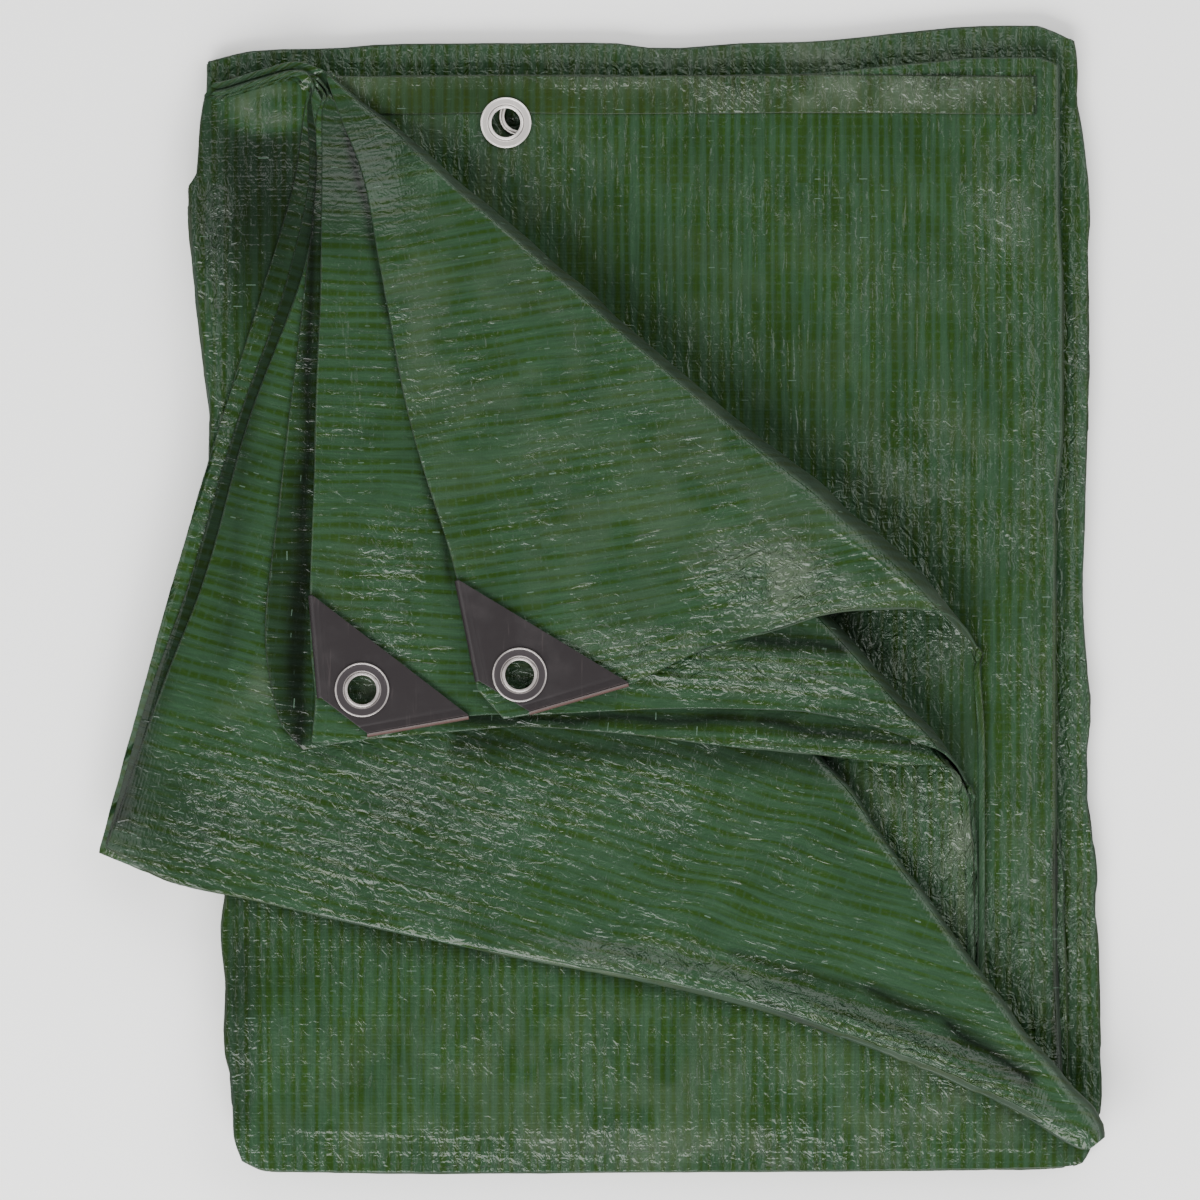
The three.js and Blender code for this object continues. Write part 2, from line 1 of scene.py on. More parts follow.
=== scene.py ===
# %% [markdown]
# # A folded tarpaulin with its corner turned over
# The real thing is one sheet of woven polyethylene, coated with glossy film, folded many times into
# a flat stack. Its upper layers have been turned over along slanting fold lines, so two corners with
# dark plastic pockets show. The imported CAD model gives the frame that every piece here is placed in.

# %% Load the fixed frame
import math

import bmesh
import bpy
import numpy as np
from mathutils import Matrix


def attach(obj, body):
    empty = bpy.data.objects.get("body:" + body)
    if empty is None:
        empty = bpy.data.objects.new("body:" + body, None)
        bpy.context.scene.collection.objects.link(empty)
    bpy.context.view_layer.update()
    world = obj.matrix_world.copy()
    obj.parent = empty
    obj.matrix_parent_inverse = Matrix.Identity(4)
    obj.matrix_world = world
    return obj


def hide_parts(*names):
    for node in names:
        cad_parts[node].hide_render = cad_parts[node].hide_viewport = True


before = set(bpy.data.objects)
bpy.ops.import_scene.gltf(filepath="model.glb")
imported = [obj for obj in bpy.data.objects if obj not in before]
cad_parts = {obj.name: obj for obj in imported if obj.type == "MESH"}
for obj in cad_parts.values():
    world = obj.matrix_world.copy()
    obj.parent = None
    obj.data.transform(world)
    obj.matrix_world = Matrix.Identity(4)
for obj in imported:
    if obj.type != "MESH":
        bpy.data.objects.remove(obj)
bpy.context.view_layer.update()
MM = 0.001
print("nodes:", ", ".join(sorted(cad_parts)))

# %% [markdown]
# ## Camera
# The picture looks straight down. A camera near the tarpaulin would push its raised parts outwards,
# so this one has a very long lens and stands far away, which keeps every outline where it is in plan.

# %% A long lens straight above
PICTURE_WIDTH = 480 * MM
LENS = 600
SENSOR = 36

camera_data = bpy.data.cameras.new("camera")
camera_data.lens = LENS
camera_data.sensor_width = SENSOR
camera_data.clip_end = 100
camera = bpy.data.objects.new("camera", camera_data)
camera.location = (0, 0, PICTURE_WIDTH * LENS / SENSOR)
bpy.context.scene.collection.objects.link(camera)
bpy.context.scene.camera = camera
print("camera height", round(camera.location.z, 2), "m")

# %% [markdown]
# ## Helpers for nodes
# Every material and node group below is wired by code. One helper makes a node, sets its options and
# fills its sockets, either with a plain value or with a link from another node's output.


# %% Make nodes and sums of nodes
def add_node(tree, kind, sockets=None, **options):
    made = tree.nodes.new(kind)
    for option, value in options.items():
        setattr(made, option, value)
    for socket, value in (sockets or {}).items():
        if isinstance(value, bpy.types.NodeSocket):
            tree.links.new(value, made.inputs[socket])
        else:
            made.inputs[socket].default_value = value
    return made


def calculate(tree, operation, *values):
    made = add_node(tree, "ShaderNodeMath", dict(enumerate(values)), operation=operation)
    return made.outputs[0]


def soft_step(tree, value, low, high):
    sockets = {"Value": value, "From Min": low, "From Max": high}
    made = add_node(tree, "ShaderNodeMapRange", sockets, interpolation_type="SMOOTHSTEP")
    return made.outputs["Result"]


def mix_colours(tree, share, first, second, blend="MIX"):
    sockets = {0: share, 6: first, 7: second}
    made = add_node(tree, "ShaderNodeMix", sockets, data_type="RGBA", blend_type=blend)
    return made.outputs[2]


def mix_numbers(tree, share, first, second):
    made = add_node(tree, "ShaderNodeMix", {0: share, 2: first, 3: second}, data_type="FLOAT")
    return made.outputs[0]


def scaled(tree, vector, across, along):
    sockets = {0: vector, 1: (across, along, 1.0)}
    return add_node(tree, "ShaderNodeVectorMath", sockets, operation="MULTIPLY").outputs[0]


def noise_at(tree, vector, scale=1.0, detail=2.0, roughness=0.5, distortion=0.0, **options):
    sockets = {"Vector": vector, "Scale": scale, "Detail": detail,
               "Roughness": roughness, "Distortion": distortion}
    return add_node(tree, "ShaderNodeTexNoise", sockets, **options).outputs[0]


def add_bump(tree, height, depth, strength=1.0, under=None):
    """A height pattern that is depth millimetres deep. under is the bump that this one lies on."""
    sockets = {"Strength": strength, "Distance": depth * MM, "Height": height}
    if under is not None:
        sockets["Normal"] = under
    return add_node(tree, "ShaderNodeBump", sockets).outputs[0]


def new_group(name, inputs, outputs):
    tree = bpy.data.node_groups.new(name, "ShaderNodeTree")
    for label, kind, value in inputs:
        socket = tree.interface.new_socket(label, in_out="INPUT", socket_type=kind)
        if value is not None:
            socket.default_value = value
    for label, kind in outputs:
        tree.interface.new_socket(label, in_out="OUTPUT", socket_type=kind)
    return tree, tree.nodes.new("NodeGroupInput"), tree.nodes.new("NodeGroupOutput")


def use_group(tree, group, **sockets):
    made = tree.nodes.new("ShaderNodeGroup")
    made.node_tree = group
    for label, value in sockets.items():
        socket = made.inputs[label.replace("_", " ")]
        if isinstance(value, bpy.types.NodeSocket):
            tree.links.new(value, socket)
        else:
            socket.default_value = value
    return made.outputs


FLOAT = "NodeSocketFloat"
VECTOR = "NodeSocketVector"

# %% [markdown]
# ## The weave
# Flat tapes about two millimetres wide are woven and then coated. Seen from above the cloth has
# fine stripes, because tapes of two greens alternate, a little unevenly. The stripes follow the cloth,
# so they are drawn in a map named cloth, which holds each point's place on the unfolded cloth in
# millimetres. The cross tapes only show as faint ribs. Short bright glints are painted into the colour
# along single tapes: painted highlights where the tapes would catch the light.

# %% Group: woven tapes
STRIPE, RIB = 4.6, 3.9
TAPES_IN_STRIPE = 3.0
WANDER = 7.0
SHADE_RUNS = 0.012
OWN_SHADE, FINE_SHADE, PATCHY_SHADE, TURNED_SHADE = 1.3, 3.0, 3.2, -0.35
GLINT_SHORTEST, GLINT_LONGER = 0.16, 0.2
woven, woven_in, woven_out = new_group(
    "woven tapes",
    [("Cloth", VECTOR, None), ("Stripe", FLOAT, STRIPE), ("Rib", FLOAT, RIB),
     ("Dashes", FLOAT, 0.3), ("Turned", FLOAT, 0.0)],
    [("Olive", FLOAT), ("Streaks", FLOAT), ("Height", FLOAT), ("Dash", FLOAT)],
)


def centred(tree, value):
    """How far a value is from the middle of its cycle: 0 in the middle, 0.5 at both ends."""
    return calculate(tree, "ABSOLUTE", calculate(tree, "SUBTRACT", calculate(tree, "FRACT", value), 0.5))


def chance_of(tree, first, second, seed):
    """A number from 0 to 1, drawn for each cell of a pattern."""
    cell = add_node(tree, "ShaderNodeCombineXYZ", {0: first, 1: second, 2: seed})
    return add_node(tree, "ShaderNodeTexWhiteNoise", {"Vector": cell.outputs[0]}).outputs["Value"]


def wave_of(tree, phase, times):
    return calculate(tree, "SINE", calculate(tree, "MULTIPLY", phase, math.tau * times))


def count_of(tree, value, times):
    return calculate(tree, "FLOOR", calculate(tree, "MULTIPLY", value, times))


def about_middle(tree, value, share, total):
    """Adds a share of how far a value lies above 0.5."""
    return calculate(tree, "MULTIPLY_ADD", calculate(tree, "SUBTRACT", value, 0.5), share, total)


def add_glints(tree, given, phase, rib_phase):
    """Painted glints: short bright stretches along single cross tapes, or along long tapes where the cloth
    is turned.
    """
    turned = given.outputs["Turned"]
    long_way = mix_numbers(tree, turned, phase, rib_phase)
    thin_way = mix_numbers(tree, turned, rib_phase, phase)
    column = calculate(tree, "FLOOR", long_way)
    slip = calculate(tree, "MULTIPLY", chance_of(tree, column, 0.0, seed=1.0), 0.6)
    thin_way = calculate(tree, "ADD", thin_way, slip)
    chance = chance_of(tree, column, calculate(tree, "FLOOR", thin_way), seed=3.0)
    chosen = calculate(tree, "LESS_THAN", chance, given.outputs["Dashes"])
    drawn = calculate(tree, "FRACT", calculate(tree, "MULTIPLY", chance, 37.0))
    bright = calculate(tree, "POWER", drawn, 2.2)
    length = calculate(tree, "MULTIPLY_ADD", bright, GLINT_LONGER, GLINT_SHORTEST)
    in_length = calculate(tree, "LESS_THAN", centred(tree, long_way), length)
    in_width = soft_step(tree, centred(tree, thin_way), 0.06, 0.03)
    glint = calculate(tree, "MULTIPLY", calculate(tree, "MULTIPLY", chosen, in_length), in_width)
    return calculate(tree, "MULTIPLY", glint, bright)


def build_woven_tapes(tree, given, result):
    cloth = given.outputs["Cloth"]
    apart = add_node(tree, "ShaderNodeSeparateXYZ", {0: cloth})
    wander = noise_at(tree, scaled(tree, cloth, 0.09, 0.005))
    across = calculate(tree, "MULTIPLY_ADD", wander, WANDER, apart.outputs[0])
    phase = calculate(tree, "DIVIDE", across, given.outputs["Stripe"])
    rib_phase = calculate(tree, "DIVIDE", apart.outputs[1], given.outputs["Rib"])
    tape = count_of(tree, phase, TAPES_IN_STRIPE)
    own_shade = chance_of(tree, tape, count_of(tree, apart.outputs[1], SHADE_RUNS), seed=7.0)
    fine = noise_at(tree, scaled(tree, cloth, 1.3, 0.045), detail=3.0, roughness=0.6)
    patchy = noise_at(tree, scaled(tree, cloth, 0.07, 0.05), detail=3.0, roughness=0.6)
    tilt = about_middle(tree, own_shade, OWN_SHADE, wave_of(tree, phase, 1))
    tilt = about_middle(tree, fine, FINE_SHADE, tilt)
    tilt = about_middle(tree, patchy, PATCHY_SHADE, tilt)
    tilt = calculate(tree, "MULTIPLY_ADD", given.outputs["Turned"], TURNED_SHADE, tilt)
    broken = noise_at(tree, scaled(tree, cloth, 0.35, 0.9), roughness=0.6)
    cross_line = soft_step(tree, centred(tree, rib_phase), 0.2, 0.06)
    cross_line = calculate(tree, "MULTIPLY", cross_line, soft_step(tree, broken, 0.35, 0.6))
    less_olive = calculate(tree, "MULTIPLY_ADD", cross_line, -0.5, 1.0)
    olive = calculate(tree, "MULTIPLY", soft_step(tree, tilt, -0.7, 1.1), less_olive)
    height = calculate(tree, "MULTIPLY", wave_of(tree, rib_phase, 3), 0.35)
    height = calculate(tree, "MULTIPLY_ADD", wave_of(tree, phase, 2), 0.4, height)
    height = calculate(tree, "MULTIPLY_ADD", cross_line, 0.9, height)
    glint = add_glints(tree, given, phase, rib_phase)
    for label, value in {"Olive": olive, "Streaks": fine, "Height": height, "Dash": glint}.items():
        tree.links.new(value, result.inputs[label])


build_woven_tapes(woven, woven_in, woven_out)
print("group", woven.name, "has", len(woven.nodes), "nodes")

# %% [markdown]
# ## The film
# The coating is a thin glossy skin. Wherever the tarpaulin has been pressed or folded it keeps little
# creases, and these catch the light as white flecks. Three kinds of noise are added: broad swells, the
# sharp winding crests of ridged noise, and long hair creases, which show here and there on flat cloth
# too. The first two grow with the amount of creasing that the sheet asks for.

# %% Group: creased film
SWELL_SHARE, CREST_SHARE, HAIR_SHARE = 1.9, 0.45, 0.55
film, film_in, film_out = new_group(
    "creased film",
    [("Cloth", VECTOR, None), ("Size", FLOAT, 9.0), ("Amount", FLOAT, 1.0)],
    [("Height", FLOAT)],
)


def build_creased_film(tree, given, result):
    cloth = given.outputs["Cloth"]
    frequency = calculate(tree, "DIVIDE", 1.0, given.outputs["Size"])
    sized = add_node(tree, "ShaderNodeVectorMath", {0: cloth, 3: frequency}, operation="SCALE").outputs[0]
    ridged = {"noise_type": "RIDGED_MULTIFRACTAL", "normalize": True}
    swells = noise_at(tree, scaled(tree, sized, 1.15, 0.8), roughness=0.6, distortion=1.2)
    crests = noise_at(tree, scaled(tree, sized, 1.7, 1.1), detail=1.0, distortion=0.5, **ridged)
    both = calculate(tree, "MULTIPLY", swells, SWELL_SHARE)
    both = calculate(tree, "MULTIPLY_ADD", crests, CREST_SHARE, both)
    hairs = noise_at(tree, scaled(tree, sized, 2.6, 0.35), detail=1.0, distortion=0.6, **ridged)
    often = soft_step(tree, noise_at(tree, cloth, scale=0.045, roughness=0.6), 0.42, 0.68)
    hairs = calculate(tree, "MULTIPLY", calculate(tree, "MULTIPLY", hairs, often), HAIR_SHARE)
    height = calculate(tree, "MULTIPLY_ADD", both, given.outputs["Amount"], hairs)
    tree.links.new(height, result.inputs["Height"])


build_creased_film(film, film_in, film_out)
print("group", film.name, "has", len(film.nodes), "nodes")

# %% [markdown]
# ## Scuffs
# Plastic and metal that have been handled carry faint rubbed patches and hair scratches. One group
# gives both as masks, and each material decides what they do to its colour and its gloss.

# %% Group: scuffs
scuffs, scuffs_in, scuffs_out = new_group(
    "scuffs",
    [("Place", VECTOR, None), ("Scale", FLOAT, 120.0)],
    [("Rubbed", FLOAT), ("Scratch", FLOAT)],
)


def build_scuffs(tree, given, result):
    rubbed = noise_at(tree, given.outputs["Place"], given.outputs["Scale"], detail=4.0, roughness=0.65)
    hairs = scaled(tree, given.outputs["Place"], 9.0, 0.7)
    scratch = noise_at(tree, hairs, given.outputs["Scale"], distortion=0.4)
    tree.links.new(soft_step(tree, rubbed, 0.45, 0.75), result.inputs["Rubbed"])
    tree.links.new(soft_step(tree, scratch, 0.62, 0.72), result.inputs["Scratch"])


build_scuffs(scuffs, scuffs_in, scuffs_out)
print("group", scuffs.name, "has", len(scuffs.nodes), "nodes")

# %% [markdown]
# ## Materials
# The cloth's material reads two maps. The map cloth places the weave. The map marks holds two numbers
# for each spot: how creased it is, where less than zero means dull and painted darker, a painted shade
# on the steep side of a roll, and how pale it is, where more than zero is painted sheen and less than
# zero is painted shade. Shaders stay out of the groups: one Principled shader takes the colour,
# roughness and normal that the groups lead to. Its gloss is set on its own sockets.


# %% Start a material, read its marks and wire it
def new_material(name):
    material = bpy.data.materials.new(name)
    material.use_nodes = True
    tree = material.node_tree
    shader = tree.nodes["Principled BSDF"]
    return material, tree, shader


def read_marks(tree):
    marks = add_node(tree, "ShaderNodeUVMap", uv_map="marks").outputs[0]
    apart = add_node(tree, "ShaderNodeSeparateXYZ", {0: marks})
    return apart.outputs[0], apart.outputs[1]


def wire_shader(tree, shader, colour, rough, normal):
    for socket, value in {"Base Color": colour, "Roughness": rough, "Normal": normal}.items():
        tree.links.new(value, shader.inputs[socket])


# %% Material: laminated green weave
BLUISH_GREEN = (0.0162, 0.0395, 0.0188, 1)
OLIVE_GREEN = (0.0106, 0.0285, 0.0034, 1)
SHEEN_GREEN = (0.050, 0.070, 0.044, 1)
GLINT_GREEN = (0.060, 0.095, 0.070, 1)
WEAVE_DEPTH = 0.035
CREASE_SIZE, CREASE_DEPTH = 4.8, 0.75


def woven_cloth(name, bluish=BLUISH_GREEN, olive=OLIVE_GREEN, glints=0.12, turned=0.0):
    material, tree, shader = new_material(name)
    cloth = add_node(tree, "ShaderNodeUVMap", uv_map="cloth").outputs[0]
    creased, pale = read_marks(tree)
    # dull marks steep sides: they are made rougher, and their colour is painted darker as painted shade.
    dull = calculate(tree, "MAXIMUM", calculate(tree, "MULTIPLY", creased, -1.0), 0.0)
    # dark is painted shade; pale, once clipped below zero, is painted sheen.
    dark = calculate(tree, "MINIMUM", pale, 0.0)
    creased = calculate(tree, "MAXIMUM", creased, 0.0)
    pale = calculate(tree, "MAXIMUM", pale, 0.0)
    tapes = use_group(tree, woven, Cloth=cloth, Dashes=glints, Turned=turned)
    skin = use_group(tree, film, Cloth=cloth, Size=CREASE_SIZE, Amount=creased)
    colour = mix_colours(tree, tapes["Olive"], bluish, olive)
    cloudy = noise_at(tree, cloth, scale=0.035, detail=3.0, roughness=0.6)
    shade = calculate(tree, "MULTIPLY_ADD", cloudy, 0.6, 0.7)
    streaky = calculate(tree, "MULTIPLY_ADD", tapes["Streaks"], 0.9, 0.55)
    tone = calculate(tree, "MULTIPLY", shade, streaky)
    # Painted shade: the dark marks and the dull steep sides lower the tone.
    tone = calculate(tree, "MULTIPLY", tone, calculate(tree, "ADD", dark, 1.0))
    tone = calculate(tree, "MULTIPLY", tone, calculate(tree, "MULTIPLY_ADD", dull, -0.4, 1.0))
    grey = add_node(tree, "ShaderNodeCombineColor", {0: tone, 1: tone, 2: tone}).outputs[0]
    colour = mix_colours(tree, 1.0, colour, grey, "MULTIPLY")
    # Painted sheen: the pale marks mix in a paler green.
    colour = mix_colours(tree, calculate(tree, "MULTIPLY", pale, 0.6), colour, SHEEN_GREEN)
    # Painted glints: bright dashes along single tapes, mixed into the colour as painted highlights.
    colour = mix_colours(tree, tapes["Dash"], colour, GLINT_GREEN)
    rough = calculate(tree, "MULTIPLY_ADD", cloudy, 0.1, 0.2)
    rough = calculate(tree, "MULTIPLY_ADD", dull, 0.5, rough)
    ribbed = add_bump(tree, tapes["Height"], WEAVE_DEPTH)
    wire_shader(tree, shader, colour, rough, add_bump(tree, skin["Height"], CREASE_DEPTH, under=ribbed))
    shader.inputs["Specular IOR Level"].default_value = 0.3
    return material


CLOTH = woven_cloth("flat_weave")
TURNED_CLOTH = woven_cloth("turned_weave", turned=1.0)
print("materials", CLOTH.name, TURNED_CLOTH.name)

# %% Material: dark moulded plastic
PLASTIC_BROWN, RUBBED_BROWN = (0.0090, 0.0064, 0.0072, 1), (0.0120, 0.0090, 0.0098, 1)
EDGE_HIGHLIGHT_RED, SCRATCHED_BROWN = (0.060, 0.030, 0.025, 1), (0.05, 0.04, 0.04, 1)
GRAIN_SCALE, GRAIN_DEPTH = 2600.0, 0.05


def moulded_plastic():
    material, tree, shader = new_material("dark_plastic")
    place = add_node(tree, "ShaderNodeTexCoord").outputs["Object"]
    worn = use_group(tree, scuffs, Place=place, Scale=70.0)
    edge_highlight, _ = read_marks(tree)
    colour = mix_colours(tree, worn["Rubbed"], PLASTIC_BROWN, RUBBED_BROWN)
    # Painted highlight: a thin reddish strip along the outer edge of the lower bead.
    colour = mix_colours(tree, edge_highlight, colour, EDGE_HIGHLIGHT_RED)
    scratched = calculate(tree, "MULTIPLY", worn["Scratch"], 0.25)
    colour = mix_colours(tree, scratched, colour, SCRATCHED_BROWN)
    rough = calculate(tree, "MULTIPLY_ADD", worn["Rubbed"], 0.08, 0.46)
    grain = noise_at(tree, place, GRAIN_SCALE)
    wire_shader(tree, shader, colour, rough, add_bump(tree, grain, GRAIN_DEPTH, 0.25))
    shader.inputs["Specular IOR Level"].default_value = 0.35
    return material


PLASTIC = moulded_plastic()
print("material", PLASTIC.name)

# %% Material: pale pressed metal
HOLLOW_BROWN = (0.035, 0.026, 0.022, 1)
SCRATCH_DEPTH = 0.02


def pressed_metal(name, bright, dull, plain, roughness, metallic):
    material, tree, shader = new_material(name)
    place = add_node(tree, "ShaderNodeTexCoord").outputs["Object"]
    worn = use_group(tree, scuffs, Place=place, Scale=160.0)
    darker_in_hollows, on_flange = read_marks(tree)
    colour = mix_colours(tree, worn["Rubbed"], bright, dull)
    colour = mix_colours(tree, on_flange, colour, plain)
    # Darker brown in the groove, down the hole and on the underside.
    colour = mix_colours(tree, darker_in_hollows, colour, HOLLOW_BROWN)
    rough = calculate(tree, "MULTIPLY_ADD", worn["Scratch"], 0.1, roughness)
    wire_shader(tree, shader, colour, rough, add_bump(tree, worn["Scratch"], SCRATCH_DEPTH, 0.3))
    shader.inputs["Metallic"].default_value = metallic
    return material


HEM_METAL = pressed_metal(
    "pale_metal", bright=(0.74, 0.70, 0.67, 1), dull=(0.62, 0.58, 0.55, 1),
    plain=(0.66, 0.62, 0.59, 1), roughness=0.34, metallic=0.6)
# On the corner eyelets the flange colour is far darker than the lip and rim: a painted dark reflection on
# the flange, so the lip and rim read as a painted highlight.
CORNER_METAL = pressed_metal(
    "clear_metal", bright=(0.34, 0.31, 0.30, 1), dull=(0.28, 0.26, 0.25, 1),
    plain=(0.055, 0.048, 0.051, 1), roughness=0.3, metallic=0.5)
print("materials", HEM_METAL.name, CORNER_METAL.name)


# %% Material: plain pale floor
def pale_floor():
    material, tree, shader = new_material("pale_floor")
    place = add_node(tree, "ShaderNodeTexCoord").outputs["Object"]
    cloudy = noise_at(tree, place, scale=3.0, detail=3.0)
    colour = mix_colours(tree, cloudy, (0.86, 0.86, 0.85, 1), (0.90, 0.90, 0.89, 1))
    tree.links.new(colour, shader.inputs["Base Color"])
    shader.inputs["Roughness"].default_value = 0.8
    return material


FLOOR = pale_floor()
print("material", FLOOR.name)

# %% [markdown]
# ## Floor and light
# The stage is a plain pale floor. The main light is long and soft and stands beyond the lower edge of
# the picture. Weaker ones stand beyond the top, the right and the left, as in a product studio. Ribs that
# run across the picture then catch the light.

# %% Stage
HALF_FLOOR = 1.5
FLOOR_BELOW = 0.3 * MM

floor_corners = [(-HALF_FLOOR, -HALF_FLOOR, 0), (HALF_FLOOR, -HALF_FLOOR, 0),
                 (HALF_FLOOR, HALF_FLOOR, 0), (-HALF_FLOOR, HALF_FLOOR, 0)]
floor_mesh = bpy.data.meshes.new("floor")
floor_mesh.from_pydata(floor_corners, [], [(0, 1, 2, 3)])
floor_mesh.materials.append(FLOOR)
floor = bpy.data.objects.new("floor", floor_mesh)
floor.location.z = -FLOOR_BELOW
bpy.context.scene.collection.objects.link(floor)


def add_light(name, place, size, power):
    data = bpy.data.lights.new(name, "AREA")
    data.shape = "RECTANGLE"
    data.size, data.size_y = size
    data.energy = power
    light = bpy.data.objects.new(name, data)
    light.location = place
    aim = -light.location
    light.rotation_euler = aim.to_track_quat("-Z", "Y").to_euler()
    bpy.context.scene.collection.objects.link(light)


add_light("light_top", place=(0.1, 1.6, 1.3), size=(2.6, 1.3), power=40)
add_light("light_right", place=(1.6, 0.3, 1.3), size=(1.3, 2.2), power=32)
add_light("light_low", place=(-0.45, -1.6, 1.3), size=(2.8, 1.5), power=146)
add_light("light_left", place=(-1.7, 0.1, 1.2), size=(1.0, 1.8), power=14)

world = bpy.data.worlds.new("studio")
world.use_nodes = True
background = world.node_tree.nodes["Background"]
background.inputs["Color"].default_value = (1, 1, 1, 1)
background.inputs["Strength"].default_value = 0.12
bpy.context.scene.world = world
print("stage ready")

# %% [markdown]
# ## Helpers for cloth
# A sheet is a grid of points. Its outline comes from short tables of places read off the real
# tarpaulin, joined by a curve that never overshoots between two rows. Unevenness comes from seeded
# noise, so it is the same in each run.


# %% Curves and noise
def curve_through(places, values, sharp=()):
    """A smooth curve through a table that stays between neighbouring values, with chosen sharp corners."""
    places, values = np.array(places, float), np.array(values, float)
    gaps = np.diff(places)
    slopes = np.diff(values) / gaps
    before, after = slopes[:-1], slopes[1:]
    same_way = before * after > 0
    bends = np.zeros(len(values))
    bends[0], bends[-1] = slopes[0], slopes[-1]
    weight = np.where(same_way, before + after, 1)
    bends[1:-1] = np.where(same_way, 2 * before * after / weight, 0)
    is_sharp = np.isin(places, sharp)
    leaving = np.where(is_sharp[:-1], slopes, bends[:-1])
    arriving = np.where(is_sharp[1:], slopes, bends[1:])

    def read(at):
        at = np.clip(at, places[0], places[-1])
        left = np.clip(np.searchsorted(places, at) - 1, 0, len(gaps) - 1)
        share = (at - places[left]) / gaps[left]
        rest = 1 - share
        start = values[left] * (1 + 2 * share) + leaving[left] * gaps[left] * share
        end = values[left + 1] * (3 - 2 * share) - arriving[left] * gaps[left] * rest
        return start * rest**2 + end * share**2

    return read


NOISE_ROWS, NOISE_COLUMNS = 61, 67


def noise(x, y, size, seed):
    """Smooth noise from -1 to 1 whose lumps are about size millimetres across."""
    table = np.random.default_rng(seed).uniform(-1, 1, (NOISE_ROWS, NOISE_COLUMNS))
    column, row = np.floor(x / size).astype(int), np.floor(y / size).astype(int)
    right, up = x / size - column, y / size - row
    right, up = right * right * (3 - 2 * right), up * up * (3 - 2 * up)

    def corner(along, above):
        return table[(row + above) % NOISE_ROWS, (column + along) % NOISE_COLUMNS]

    low = corner(0, 0) * (1 - right) + corner(1, 0) * right
    high = corner(0, 1) * (1 - right) + corner(1, 1) * right
    return low * (1 - up) + high * up


def crumple(x, y, size, seed):
    """Creases as in film that was pressed together: soft facets between sharp ridges, about -1 to 1."""
    total = 0
    share = 1.0
    for octave in range(3):
        bent_x = x + 0.4 * size * noise(x, y, 1.4 * size, seed + 20 + octave)
        bent_y = y + 0.4 * size * noise(x, y, 1.4 * size, seed + 40 + octave)
        total = total + share * (0.6 - 2.2 * np.abs(noise(bent_x, bent_y, size, seed + octave)))
        share *= 0.55
        size *= 0.52
    return total / 1.4


def lerp(first, second, share):
    return first + (second - first) * share


def smooth_share(value, low, high):
    share = np.clip((value - low) / (high - low), 0, 1)
    return share * share * (3 - 2 * share)


print("a quarter of the way along, a soft step has risen by", smooth_share(0.25, 0, 1))

# %% Turn a grid of points into a sheet
TRIANGLES = {}
SMALLEST_FACE = 0.004


def finish_piece(name, mesh, material):
    mesh.materials.append(material)
    mesh.polygons.foreach_set("use_smooth", np.ones(len(mesh.polygons), bool))
    piece = bpy.data.objects.new(name, mesh)
    bpy.context.scene.collection.objects.link(piece)
    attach(piece, "root")
    mesh.calc_loop_triangles()
    TRIANGLES[name] = len(mesh.loop_triangles)
    print(name, "has", TRIANGLES[name], "triangles")
    return piece


def sheet_mesh(name, points, cloth, marks, holes=()):
    """A grid of points in millimetres, with its place on the unfolded cloth and its marks."""
    rows, columns = points.shape[:2]
    index = np.arange(rows * columns).reshape(rows, columns)
    corners = [index[:-1, :-1], index[:-1, 1:], index[1:, 1:], index[1:, :-1]]
    faces = np.stack(corners, axis=-1).reshape(-1, 4)
    flat = points.reshape(-1, 3)
    first, second = flat[faces[:, 2]] - flat[faces[:, 0]], flat[faces[:, 3]] - flat[faces[:, 1]]
    area = np.linalg.norm(np.cross(first, second), axis=1) / 2
    keep = area > SMALLEST_FACE
    middle = flat[faces].mean(axis=1)
    for hole_x, hole_y, radius in holes:
        keep &= np.hypot(middle[:, 0] - hole_x, middle[:, 1] - hole_y) > radius
    faces = faces[keep]
    used, faces = np.unique(faces, return_inverse=True)
    faces = faces.reshape(-1, 4)
    mesh = bpy.data.meshes.new(name)
    mesh.vertices.add(len(used))
    mesh.vertices.foreach_set("co", (flat[used] * MM).ravel())
    mesh.loops.add(faces.size)
    mesh.loops.foreach_set("vertex_index", faces.ravel())
    mesh.polygons.add(len(faces))
    mesh.polygons.foreach_set("loop_start", np.arange(0, faces.size, 4))
    mesh.update(calc_edges=True)
    for label, values in {"cloth": cloth, "marks": marks}.items():
        layer = mesh.uv_layers.new(name=label)
        layer.uv.foreach_set("vector", values.reshape(-1, 2)[used][faces.ravel()].ravel())
    mesh.validate()
    return mesh


def unit(vectors):
    length = np.linalg.norm(vectors, axis=-1, keepdims=True)
    return vectors / np.maximum(length, 1e-9)


def normals_of(points):
    return unit(np.cross(np.gradient(points, axis=1), np.gradient(points, axis=0)))


# %% [markdown]
# ## The outline of the stack
# The four edges wander by a few millimetres, as folded cloth does. Each table gives the edge at some
# places. A few lines of code turn every table into a curve that the sheets are cut to.

